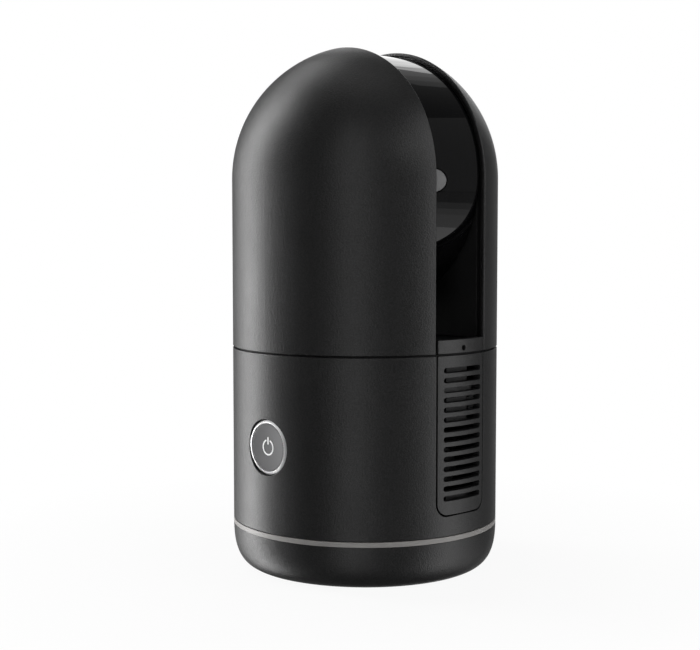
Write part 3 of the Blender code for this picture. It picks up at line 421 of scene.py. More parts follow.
@dataclass(frozen=True)
class BrushedMetal(Finish):
    """Metal with a straight brushed grain."""

    shades: Point = (0.86, 1.08)
    wander: Point = (0.06, 0.08)
    grain: float = 0.12 * MM
    stretch: Corner = (0.04, 1.0, 1.0)
    depth: float = 0.003 * MM

    def paint(self, sheet: NodeSheet) -> Material:
        """Noise drawn out along the grain.

        Args:
            sheet: The material's node tree.

        Returns:
            The material.
        """
        grain = sheet.noise(self.grain, 3.0, sheet.coordinates(self.stretch))
        sheet.plain(Metallic=1.0)
        return self.coat(sheet, grain, grain, sheet.relief(grain, self.depth))


@dataclass(frozen=True)
class FrostedBand(Finish):
    """Frosted light guide of a milky plastic."""

    shades: Point = (0.95, 1.05)
    wander: Point = (0.05, 0.05)
    frost: float = 0.12 * MM
    cloud: float = 5.0 * MM
    depth: float = 0.004 * MM

    def paint(self, sheet: NodeSheet) -> Material:
        """Soft clouds and a fine frost.

        Args:
            sheet: The material's node tree.

        Returns:
            The material.
        """
        frost = sheet.noise(self.frost)
        sheet.plain(Subsurface_Weight=0.15, Subsurface_Radius=(0.6 * MM,) * 3)
        return self.coat(sheet, sheet.noise(self.cloud), frost, sheet.relief(frost, self.depth))


@dataclass(frozen=True)
class Winding(Finish):
    """Enamelled wire wound in close turns about an axis."""

    shades: Point = (0.75, 1.15)
    wander: Point = (0.06, 0.08)
    wire: float = 0.35 * MM
    wave_per_wire: float = 6.3
    uneven: float = 0.6
    enamel: float = 1.5 * MM
    depth: float = 0.08 * MM

    def paint(self, sheet: NodeSheet) -> Material:
        """Round wires side by side, with uneven enamel.

        Args:
            sheet: The material's node tree.

        Returns:
            The material.
        """
        wires = sheet.add("ShaderNodeTexWave", {
            "Vector": sheet.coordinates(), "Scale": 1.0 / (self.wave_per_wire * self.wire),
            "Distortion": self.uneven}, wave_type="BANDS", bands_direction="DIAGONAL")
        enamel = sheet.noise(self.enamel)
        sheet.plain(Metallic=0.85, Coat_Weight=0.4)
        return self.coat(sheet, enamel, enamel, sheet.relief(wires.outputs["Fac"], self.depth))


@dataclass(frozen=True)
class BoardMask(Finish):
    """Solder mask over copper tracks, with bare pads."""

    track: Colour = (0.05, 0.20, 0.09)
    track_scale: float = 260.0
    track_width: float = 0.035
    track_blur: float = 0.2
    stretch: Corner = (1.0, 1.0, 0.31)
    pad: Colour = (0.60, 0.52, 0.36)
    pad_scale: float = 420.0
    pad_roughness: float = 0.3
    pad_edge: Point = (0.16, 0.20)
    depth: float = 0.03 * MM

    def paint(self, sheet: NodeSheet) -> Material:
        """Tracks from a brick pattern, pads from cells.

        Args:
            sheet: The material's node tree.

        Returns:
            The material.
        """
        tracks = sheet.add("ShaderNodeTexBrick", {
            "Vector": sheet.coordinates(self.stretch), "Scale": self.track_scale,
            "Mortar Size": self.track_width, "Mortar Smooth": self.track_blur,
            "Color1": (*self.colour, 1.0), "Color2": (*shade(self.colour, 0.8), 1.0),
            "Mortar": (*self.track, 1.0)})
        cells = sheet.add("ShaderNodeTexVoronoi", {"Vector": sheet.coordinates(), "Scale": self.pad_scale})
        pads = sheet.spread(cells.outputs["Distance"], (1.0, 0.0), self.pad_edge)
        feeds = {0: pads, 6: tracks.outputs["Color"], 7: (*self.pad, 1.0)}
        mix = sheet.add("ShaderNodeMix", feeds, data_type="RGBA")
        roughness = sheet.spread(pads, (self.roughness, self.pad_roughness), (0.0, 1.0))
        return sheet.done(mix.outputs[2], roughness, sheet.relief(tracks.outputs["Fac"], self.depth))


@dataclass(frozen=True)
class CoatedGlass(Finish):
    """Grey coated window with a faint bloom."""

    shades: Point = (0.96, 1.04)
    wander: Point = (0.0, 0.03)
    bloom: float = 3.0 * MM

    def paint(self, sheet: NodeSheet) -> Material:
        """A smooth coated face whose tint drifts a little.

        Args:
            sheet: The material's node tree.

        Returns:
            The material.
        """
        bloom = sheet.noise(self.bloom)
        sheet.plain(Coat_Weight=0.6, Coat_Roughness=0.03, IOR=1.5)
        return self.coat(sheet, bloom, bloom)


@dataclass(frozen=True)
class MirrorCoat(Finish):
    """Vacuum-coated mirror."""

    shades: Point = (0.97, 1.0)
    wander: Point = (0.0, 0.02)
    drift: float = 4.0 * MM

    def paint(self, sheet: NodeSheet) -> Material:
        """A bright face with hardly visible coating drift.

        Args:
            sheet: The material's node tree.

        Returns:
            The material.
        """
        drift = sheet.noise(self.drift)
        sheet.plain(Metallic=1.0)
        return self.coat(sheet, drift, drift)


BODY_SATIN = SatinPlastic("body_satin", (0.0115, 0.0115, 0.0118), 0.40, (0.6, 1.4), grain=0.45 * MM,
                          depth=0.08 * MM)
INNER_SATIN = SatinPlastic("inner_satin", (0.008, 0.008, 0.0085), 0.62, specular=0.3)
DRUM_POLISH = PolishedPlastic("drum_polish", (0.0015, 0.0015, 0.0017), 0.015)
BAND_FROST = FrostedBand("band_frost", (0.325, 0.315, 0.305), 0.42)
BUTTON_SATIN = SatinPlastic("button_satin", (0.060, 0.060, 0.063), 0.40, (0.94, 1.06), grain=0.2 * MM)
# Inner black plastic made a lighter grey than inner_satin: partly the plates' own grey, partly painted light
# standing in for the light that reaches them through the louvres.
GUIDE_GREY_PAINTED_LIGHT = SatinPlastic("guide_grey_painted_light", (0.055, 0.055, 0.056), 0.55)
SIGN_PRINT = SatinPlastic("sign_print", (0.95, 0.95, 0.95), 0.45, (0.97, 1.03), grain=0.15 * MM)
FOOT_RUBBER = SatinPlastic("foot_rubber", (0.018,) * 3, 0.80, (0.7, 1.3), grain=0.5 * MM, specular=0.25)
CELL_CASE = SatinPlastic("cell_case", (0.045, 0.047, 0.050), 0.52, grain=0.4 * MM, depth=0.02 * MM)
TURNED_STEEL = TurnedMetal("turned_steel", (0.55, 0.55, 0.56), 0.28)
BRUSHED_ALUMINIUM = BrushedMetal("brushed_aluminium", (0.62, 0.63, 0.64), 0.36)
COPPER_WIRE = Winding("copper_wire", (0.52, 0.26, 0.12), 0.34)
GREEN_BOARD = BoardMask("green_board", (0.022, 0.10, 0.05), 0.42)
GREY_GLASS = CoatedGlass("grey_glass", (0.19, 0.19, 0.192), 0.06)
MIRROR_FACE = MirrorCoat("mirror_face", (0.92, 0.92, 0.92), 0.01)

NODE_FINISH: dict[Slot, Finish] = {
    Slot.BODY: BODY_SATIN, Slot.GLOSS: DRUM_POLISH, Slot.INNER: INNER_SATIN, Slot.BAND: BAND_FROST,
    Slot.SILVER: TURNED_STEEL, Slot.BUTTON: BUTTON_SATIN, Slot.RUBBER: FOOT_RUBBER, Slot.STEEL: TURNED_STEEL,
    Slot.ALUMINIUM: BRUSHED_ALUMINIUM, Slot.WINDING: COPPER_WIRE, Slot.BOARD: GREEN_BOARD,
    Slot.CELL: CELL_CASE, Slot.GLASS: GREY_GLASS, Slot.MIRROR: MIRROR_FACE,
}
# The base deck takes the same lighter grey, which is partly painted light.
OWN_FINISH: dict[str, Finish] = {"base_deck": GUIDE_GREY_PAINTED_LIGHT}


def silver_finish(centre: Vector) -> TurnedMetal:
    """Bright turned metal of the button's ring, with its tool marks about the button's axis."""
    return TurnedMetal("turned_silver", (0.95, 0.95, 0.96), 0.64, axis=Axis.X, centre=tuple(centre),
                       feed=0.12 * MM, depth=0.001 * MM)


def from_solid(node: str, end: End, axis: Axis) -> float:
    """Dataclass field whose value is read from one end of a solid's box."""
    return field(default_factory=lambda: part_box(node)[end.value][axis.value])


def middle_of(node: str) -> Vector:
    """Middle of a solid's box."""
    return sum(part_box(node), Vector()) / 2


def rounded_path(corners: Sequence[Corner], steps: int = 3, closed: bool = True) -> Loop:
    """Round the corners of an outline.

    Args:
        corners: Points with the radius of each corner, 0 where it stays sharp.
        steps: Segments in each arc.
        closed: Whether the last point joins the first; an open path keeps its two ends.

    Returns:
        The points of the rounded outline.
    """
    path: Loop = []
    count = len(corners)
    for index, (u, v, radius) in enumerate(corners):
        here = Vector((u, v))
        at_end = not closed and index in (0, count - 1)
        if radius <= 0.0 or at_end:
            path.append((u, v))
            continue
        before = Vector(corners[index - 1][:2]) - here
        after = Vector(corners[(index + 1) % count][:2]) - here
        half = before.angle(after) / 2
        reach = min(radius / math.tan(half), *(LONGEST_ROUNDING * way.length for way in (before, after)))
        size = reach * math.tan(half)
        bisector = (before.normalized() + after.normalized()).normalized()
        centre = here + bisector * (size / math.sin(half))
        first = here + before.normalized() * reach - centre
        sweep = first.angle_signed(here + after.normalized() * reach - centre)
        for step in range(steps + 1):
            turned = first.copy()
            turned.rotate(Matrix.Rotation(-sweep * step / steps, 2))
            path.append(tuple(centre + turned))
    return path


def rectangle(across: Point, up: Point, radii: Sequence[float] = (0.0,) * 4, steps: int = 3) -> Loop:
    """Rounded rectangle.

    Args:
        across: Where it starts and ends across.
        up: Where it starts and ends upwards.
        radii: Radius of each corner, counterclockwise from the first.
        steps: Segments in each arc.

    Returns:
        The points of the outline.
    """
    spots = ((across[0], up[0]), (across[1], up[0]), (across[1], up[1]), (across[0], up[1]))
    return rounded_path([(*spot, radius) for spot, radius in zip(spots, radii)], steps)


def arc_points(centre: Point, radius: Point, start: float, end: float, steps: int) -> Loop:
    """Points of an elliptic arc.

    Args:
        centre: Middle of the ellipse.
        radius: Its two half axes.
        start: First angle in degrees.
        end: Last angle in degrees.
        steps: Segments in the arc.

    Returns:
        The points, with both ends.
    """
    angles = [math.radians(start + (end - start) * step / steps) for step in range(steps + 1)]
    return [(centre[0] + radius[0] * math.cos(a), centre[1] + radius[1] * math.sin(a)) for a in angles]


def quarter_round(edge: float, steps: int) -> Loop:
    """Rounded edge as (how far it is drawn in, depth under the face), from the face to the side."""
    turns = [0.5 * math.pi * step / steps for step in range(steps + 1)]
    return [(edge * (1 - math.sin(turn)), edge * (1 - math.cos(turn))) for turn in turns]


def refine(loop: Loop, longest: float) -> Loop:
    """Split the edges of a closed loop, so that it bends well.

    Args:
        loop: Points of the loop.
        longest: Length that no edge passes.

    Returns:
        The loop with more points.
    """
    fine: Loop = []
    for (u0, v0), (u1, v1) in zip(loop, loop[1:] + loop[:1]):
        parts = max(1, math.ceil(math.hypot(u1 - u0, v1 - v0) / longest))
        fine += [(u0 + (u1 - u0) * part / parts, v0 + (v1 - v0) * part / parts) for part in range(parts)]
    return fine


def join(shapes: Sequence[Shape]) -> Shape:
    """Put several closed shapes into the first one.

    Args:
        shapes: The shapes; all but the first are freed.

    Returns:
        The first shape.
    """
    for other in shapes[1:]:
        held = bpy.data.meshes.new("held")
        other.to_mesh(held)
        other.free()
        shapes[0].from_mesh(held)
        bpy.data.meshes.remove(held)
    return shapes[0]


def tidy(shape: Shape) -> Shape:
    """Merge what meets, drop what has no area and point every face outwards.

    Args:
        shape: Shape that is changed in place.

    Returns:
        The same shape.
    """
    bmesh.ops.remove_doubles(shape, verts=shape.verts, dist=MERGE)
    bmesh.ops.dissolve_degenerate(shape, edges=shape.edges, dist=MERGE)
    bmesh.ops.recalc_face_normals(shape, faces=shape.faces)
    return shape


def loft(rows: Sequence[Sequence[Vector]], closed: bool = False) -> Shape:
    """Join rows of points with faces into a closed shape.

    Args:
        rows: Closed rows with the same number of points.
        closed: Whether the last row joins the first; otherwise both are filled.

    Returns:
        The shape.
    """
    shape = bmesh.new()
    made = [[shape.verts.new(point) for point in row] for row in rows]
    count = len(rows[0])
    for lower, upper in zip(made, made[1:] + made[:1] if closed else made[1:]):
        for index in range(count):
            following = (index + 1) % count
            shape.faces.new((lower[index], lower[following], upper[following], upper[index]))
    for row in () if closed else (made[0], made[-1]):
        shape.faces.new(row)
    return tidy(shape)


def lathe(profile: Loop, segments: int, axis: Axis = Axis.Z, centre: Vector = Vector()) -> Shape:
    """Spin a closed profile once round an axis.

    Args:
        profile: Points of (radius, distance along the axis).
        segments: Steps of the turn.
        axis: Direction of the axis.
        centre: A point on the axis.

    Returns:
        The turned shape.
    """
    angles = [2 * math.pi * step / segments for step in range(segments)]
    rows = [[axis.place(radius, along, angle) + centre for radius, along in profile] for angle in angles]
    return loft(rows, closed=True)


def wrap(radius: float, facing: float) -> Place:
    """Placing of a flat sheet round the upright axis.

    Args:
        radius: Radius of the sheet's outer face.
        facing: Angle of the sheet's middle from -Y towards +X, in radians.

    Returns:
        A function from (run round the body, height, depth under the face) to a position.
    """
    def place(run: float, height: float, depth: float) -> Vector:
        """Position of one point of the sheet."""
        angle = run / radius + facing
        return Vector(((radius - depth) * math.sin(angle), -(radius - depth) * math.cos(angle), height))

    return place


def offset_loop(loop: Loop, distance: float, seam: frozenset[int] = frozenset()) -> Loop:
    """Move a loop sideways to its left.

    Args:
        loop: Points of a closed loop, with the material on its left.
        distance: Length of the move.
        seam: Numbers of the edges that lie on a seam and don't push their ends.

    Returns:
        The moved points.
    """
    points = np.array(loop)
    edges = np.roll(points, -1, axis=0) - points
    normals = np.stack((-edges[:, 1], edges[:, 0]), axis=1) / np.linalg.norm(edges, axis=1)[:, None]
    moved = []
    for index, point in enumerate(points):
        around = [number % len(loop) for number in (index - 1, index)]
        first, second = (normals[number] for number in around)
        if around[0] in seam:
            first = second
        if around[1] in seam:
            second = first
        moved.append(tuple(point + distance * (first + second) / (1.0 + float(first @ second))))
    return moved


def inside(points: np.ndarray, loops: Sequence[Loop]) -> np.ndarray:
    """Which points lie inside an outline and outside its holes.

    Args:
        points: The points, one in each row.
        loops: Outline and holes.

    Returns:
        A truth value for each point.
    """
    found = np.zeros(len(points), dtype=bool)
    for loop in loops:
        start = np.array(loop)
        end = np.roll(start, -1, axis=0)
        for (u0, v0), (u1, v1) in zip(start, end):
            if v0 == v1:
                continue
            crossing = (points[:, 1] < max(v0, v1)) & (points[:, 1] >= min(v0, v1))
            at = u0 + (points[:, 1] - v0) * (u1 - u0) / (v1 - v0)
            found ^= crossing & (points[:, 0] < at)
    return found


@dataclass
class Sheet:
    """A wall of even thickness with holes and rounded outer edges, laid out flat and then placed."""

    place: Place
    thickness: float
    edge: float = SMALL_EDGE
    pitch: Point = (1.3 * MM, 3.5 * MM)
    edge_steps: int = 4
    rim_clearance: float = 0.4
    relief: Optional[Callable[[float, float], float]] = None

    def face(self, loops: Sequence[Loop], depth: float) -> list[list[Vector]]:
        """Triangles of one face of the sheet.

        Args:
            loops: Outline and holes.
            depth: Depth of the face under the sheet's outer face.

        Returns:
            The corners of each triangle, placed.
        """
        edges, points = [], []
        for loop in loops:
            start = len(points)
            points += loop
            edges += [(start + index, start + (index + 1) % len(loop)) for index in range(len(loop))]
        rim = np.array(points)
        low, high = rim.min(axis=0), rim.max(axis=0)
        counts = [max(2, math.ceil((high[way] - low[way]) / self.pitch[way])) for way in (0, 1)]
        lines = [np.linspace(low[way], high[way], counts[way] + 1) for way in (0, 1)]
        grid = np.stack(np.meshgrid(*lines), -1).reshape(-1, 2)
        grid = grid[inside(grid, loops)]
        if len(grid):
            nearest = np.min(np.linalg.norm(grid[:, None, :] - rim[None, :, :], axis=2), axis=1)
            grid = grid[nearest > self.rim_clearance * min(self.pitch)]
        corners, _, faces, *_ = delaunay_2d_cdt(
            [Vector(point) for point in points] + [Vector(point) for point in grid], edges, [], 0, FLAT_MERGE)
        middles = np.array([[sum(corners[c][way] for c in face) / 3 for way in (0, 1)] for face in faces])
        kept = inside(middles, loops)

        def put(spot: Vector) -> Vector:
            """Place a corner, with the relief where this is the outer face."""
            extra = self.relief(*spot) if self.relief and depth == 0.0 else 0.0
            return self.place(spot[0], spot[1], depth + extra)

        return [[put(corners[corner]) for corner in face] for face, keep in zip(faces, kept) if keep]

    def build(self, outline: Loop, holes: Sequence[Loop] = (), seam: frozenset[int] = frozenset()) -> Shape:
        """Make the closed wall.

        Args:
            outline: Outer edge, counterclockwise.
            holes: Edges of the holes, clockwise.
            seam: Edges of the outline that meet each other when the sheet goes right round.

        Returns:
            The wall's shape.
        """
        shape = bmesh.new()
        loops = [(outline if seam else refine(outline, self.pitch[0]), seam)]
        loops += [(refine(hole, self.pitch[0]), frozenset()) for hole in holes]
        rows = quarter_round(self.edge, self.edge_steps) + [(0.0, self.thickness)]
        for triangle in self.face([offset_loop(loop, self.edge, skip) for loop, skip in loops], 0.0):
            shape.faces.new([shape.verts.new(corner) for corner in triangle])
        for triangle in self.face([loop for loop, _ in loops], self.thickness):
            shape.faces.new([shape.verts.new(corner) for corner in reversed(triangle)])
        for loop, skip in loops:
            moved = [(offset_loop(loop, away, skip), depth) for away, depth in rows]
            placed = [[shape.verts.new(self.place(u, v, depth)) for u, v in row] for row, depth in moved]
            for upper, lower in zip(placed, placed[1:]):
                for index in range(len(loop)):
                    if index in skip:
                        continue
                    following = (index + 1) % len(loop)
                    shape.faces.new((upper[index], upper[following], lower[following], lower[index]))
        return tidy(shape)


def radial_normals(mesh: bpy.types.Mesh, radius: float, axis: Axis, centre: Vector = Vector()) -> None:
    """Give the corners that lie on a round face that face's true normals.

    Args:
        mesh: Mesh with smooth shading.
        radius: Radius of the round face.
        axis: Axis of the round face.
        centre: A point on the axis.
    """
    mask = Vector(axis.across())
    normals = [Vector(corner.vector) for corner in mesh.corner_normals]
    for polygon in mesh.polygons:
        for corner in polygon.loop_indices:
            away = (mesh.vertices[mesh.loops[corner].vertex_index].co - centre) * mask
            outwards = polygon.normal.dot(away.normalized())
            if abs(away.length - radius) < ON_FACE and outwards > FACES_OUT:
                normals[corner] = away.normalized()
    mesh.normals_split_custom_set(normals)


class PieceTree(NodeWork):
    """Geometry node tree with named inputs, which ends in real faces of one material."""

    def __init__(self, name: str, **inputs: str) -> None:
        """Start a tree.

        Args:
            name: Name of the tree.
            inputs: Kind of each input besides the geometry and the material, by the input's name.
        """
        super().__init__(bpy.data.node_groups.new(name, "GeometryNodeTree"))
        for side in ("INPUT", "OUTPUT"):
            self.tree.interface.new_socket("Geometry", in_out=side, socket_type="NodeSocketGeometry")
        for title, kind in {**inputs, "Material": "Material"}.items():
            self.tree.interface.new_socket(title, in_out="INPUT", socket_type="NodeSocket" + kind)
        self.given = self.tree.nodes.new("NodeGroupInput").outputs

    def copies(self, points: Socket, shape: Socket) -> Socket:
        """Copies of a shape on points."""
        feeds = {"Points": points, "Instance": shape}
        return self.add("GeometryNodeInstanceOnPoints", feeds).outputs["Instances"]

    def real(self, geometry: Socket) -> Socket:
        """Real faces instead of copies."""
        return self.add("GeometryNodeRealizeInstances", {"Geometry": geometry}).outputs["Geometry"]

    def finish(self, geometry: Socket) -> bpy.types.NodeTree:
        """End the tree in real faces of the given material.

        Args:
            geometry: What the tree has made.

        Returns:
            The finished tree.
        """
        feeds = {"Geometry": self.real(geometry), "Material": self.given["Material"]}
        coated = self.add("GeometryNodeSetMaterial", feeds)
        self.add("NodeGroupOutput", {"Geometry": coated.outputs["Geometry"]})
        return self.tree


def ring_tree() -> bpy.types.NodeTree:
    """Node tree that sets copies of a piece round the upright axis.

    Returns:
        The tree, with inputs for the count, the radius of the circle, its turn and the material.
    """
    work = PieceTree("ring_of_pieces", Count="Int", Radius="Float", Turn="Float")
    given = work.given
    circle = work.add("GeometryNodeMeshCircle", {"Vertices": given["Count"], "Radius": given["Radius"]})
    turned = work.add("GeometryNodeTransform", {
        "Geometry": circle.outputs["Mesh"], "Rotation": work.vector(0.0, 0.0, given["Turn"])})
    return work.finish(work.copies(turned.outputs["Geometry"], given["Geometry"]))


def louvre_tree() -> bpy.types.NodeTree:
    """Node tree that cuts a bank of louvres into a flat panel and bends it round the upright axis.

    Returns:
        The tree, made once, with inputs for the cutter, the count, the pitch, the top louvre's height, the
        radius of the bend, the facing angle and the material.
    """
    found = bpy.data.node_groups.get("louvre_bank")
    if found:
        return found
    work = PieceTree("louvre_bank", Cutter="Object", Count="Int", Pitch="Float", Top="Float", Radius="Float",
                     Facing="Float")
    given = work.given
    line = work.add("GeometryNodeMeshLine", {
        "Count": given["Count"], "Start Location": work.vector(0.0, 0.0, given["Top"]),
        "Offset": work.vector(0.0, 0.0, work.math("MULTIPLY", given["Pitch"], -1.0))})
    tool = work.add("GeometryNodeObjectInfo", {"Object": given["Cutter"]})
    bank = work.real(work.copies(line.outputs["Mesh"], tool.outputs["Geometry"]))
    cut = work.add("GeometryNodeMeshBoolean", {"Mesh 1": given["Geometry"], "Mesh 2": bank},
                   operation="DIFFERENCE", solver="EXACT")
    position = work.add("GeometryNodeInputPosition").outputs["Position"]
    spot = work.add("ShaderNodeSeparateXYZ", {0: position}).outputs
    angle = work.math("ADD", work.math("DIVIDE", spot["X"], given["Radius"]), given["Facing"])
    reach = work.math("SUBTRACT", given["Radius"], spot["Y"])
    across = work.math("MULTIPLY", reach, work.math("SINE", angle))
    away = work.math("MULTIPLY", reach, work.math("MULTIPLY", work.math("COSINE", angle), -1.0))
    bend = work.add("GeometryNodeSetPosition", {
        "Geometry": cut.outputs["Mesh"], "Position": work.vector(across, away, spot["Z"])})
    return work.finish(bend.outputs["Geometry"])


class SubAssembly:
    """What the sub-assemblies share: turning shapes into dressed pieces."""

    smooth_angle = math.radians(38)

    def soften(self, mesh: bpy.types.Mesh) -> None:
        """Shade a mesh smooth between its sharp edges."""
        mesh.shade_smooth()
        mesh.set_sharp_from_angle(angle=self.smooth_angle)

    def mesh_object(self, name: str, shape: Shape) -> Piece:
        """Turn a shape into a linked object with smooth shading.

        Args:
            name: Name of the object.
            shape: Its shape, which is freed.

        Returns:
            The object.
        """
        mesh = bpy.data.meshes.new(name)
        shape.to_mesh(mesh)
        shape.free()
        self.soften(mesh)
        piece = bpy.data.objects.new(name, mesh)
        bpy.context.scene.collection.objects.link(piece)
        return piece

    def settle(self, piece: Piece) -> Piece:
        """Turn what the modifiers make into a plain mesh.

        Args:
            piece: Object with modifiers.

        Returns:
            The same object without them.
        """
        graph = bpy.context.evaluated_depsgraph_get()
        graph.update()
        made = bpy.data.meshes.new_from_object(piece.evaluated_get(graph))
        piece.modifiers.clear()
        piece.data = made
        return piece

    def carve(self, piece: Piece, tool: Shape) -> None:
        """Subtract a tool shape from a piece.

        Args:
            piece: Piece that is cut.
            tool: Shape that is taken away.
        """
        cutter = self.mesh_object("tool", tool)
        step = piece.modifiers.new("carve", "BOOLEAN")
        step.operation, step.solver, step.object = "DIFFERENCE", "EXACT", cutter
        self.settle(piece)
        bpy.data.objects.remove(cutter, do_unlink=True)
        self.soften(piece.data)

    def run_tree(self, piece: Piece, tree: bpy.types.NodeTree, values: dict[str, object]) -> None:
        """Run a node tree on a piece and keep the plain mesh.

        Args:
            piece: Piece whose mesh goes into the tree.
            tree: The node tree.
            values: Values of the tree's inputs by their names.
        """
        step = piece.modifiers.new(tree.name, "NODES")
        step.node_group = tree
        for item in tree.interface.items_tree:
            if item.name in values:
                step[item.identifier] = values[item.name]
        self.settle(piece)

    def weigh(self, piece: Piece) -> Piece:
        """Let the large faces set the shading of the rounded edges between them."""
        piece.modifiers.new("weigh", "WEIGHTED_NORMAL").keep_sharp = True
        return self.settle(piece)

    def dress(self, piece: Piece, finish: Finish, body: Body, slot: Slot, *nodes: str) -> None:
        """Give a piece its finish and its place in the frame.

        Args:
            piece: The finished object.
            finish: Finish of its surface.
            body: Body that it rides on.
            slot: Material slot of the record; not used.
            nodes: Solids that it stands for.
        """
        piece.data.materials.clear()
        piece.data.materials.append(finish.material())
        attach(piece, body.value)
        if nodes:
            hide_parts(*nodes)
        LOG.info("%s: %d faces, rides on %s", piece.name, len(piece.data.polygons), body.value)


@dataclass
class Form:
    """Main sizes of the scanner, read from the solids."""

    radius: float = from_solid("lower_housing", End.HIGH, Axis.X)
    base_top: float = from_solid("lower_housing", End.HIGH, Axis.Z)
    head_bottom: float = from_solid("left_shell", End.LOW, Axis.Z)
    half_slot: float = from_solid("right_shell", End.LOW, Axis.X)
    ring_low: float = from_solid("light_ring", End.LOW, Axis.Z)
    ring_top: float = from_solid("light_ring", End.HIGH, Axis.Z)
    drum_axis: float = field(default_factory=lambda: sum(corner.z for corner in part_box("drum_shell")) / 2)
    wall: float = 2.2 * MM
    seam: float = 0.05 * MM
    panel_gap: float = 0.45 * MM
    corner_height: float = 14.6 * MM
    corner_inset: float = 9.4 * MM
    corner_power: float = 2.8

    @property
    def panel_half(self) -> float:
        """Half the width of a vent panel's opening, measured round the body."""
        return self.radius * math.asin(self.half_slot / self.radius)

    def corner_run(self, low: float, high: float, steps: int) -> Loop:
        """Profile of the rounded bottom edge.

        Args:
            low: Lower height.
            high: Upper height.
            steps: Number of segments.

        Returns:
            Points of (radius, height) from the lower height up.
        """
        def turn(height: float) -> float:
            """Angle on the rounded edge at a height."""
            share = max(0.0, 1.0 - height / self.corner_height)
            return math.asin(min(1.0, share ** (self.corner_power / 2)))

        start, end = turn(low), turn(high)
        run = []
        for step in range(steps + 1):
            angle = start + (end - start) * step / steps
            run.append((self.radius - self.corner_inset * (1 - math.cos(angle) ** (2 / self.corner_power)),
                        self.corner_height * (1 - math.sin(angle) ** (2 / self.corner_power))))
        return run


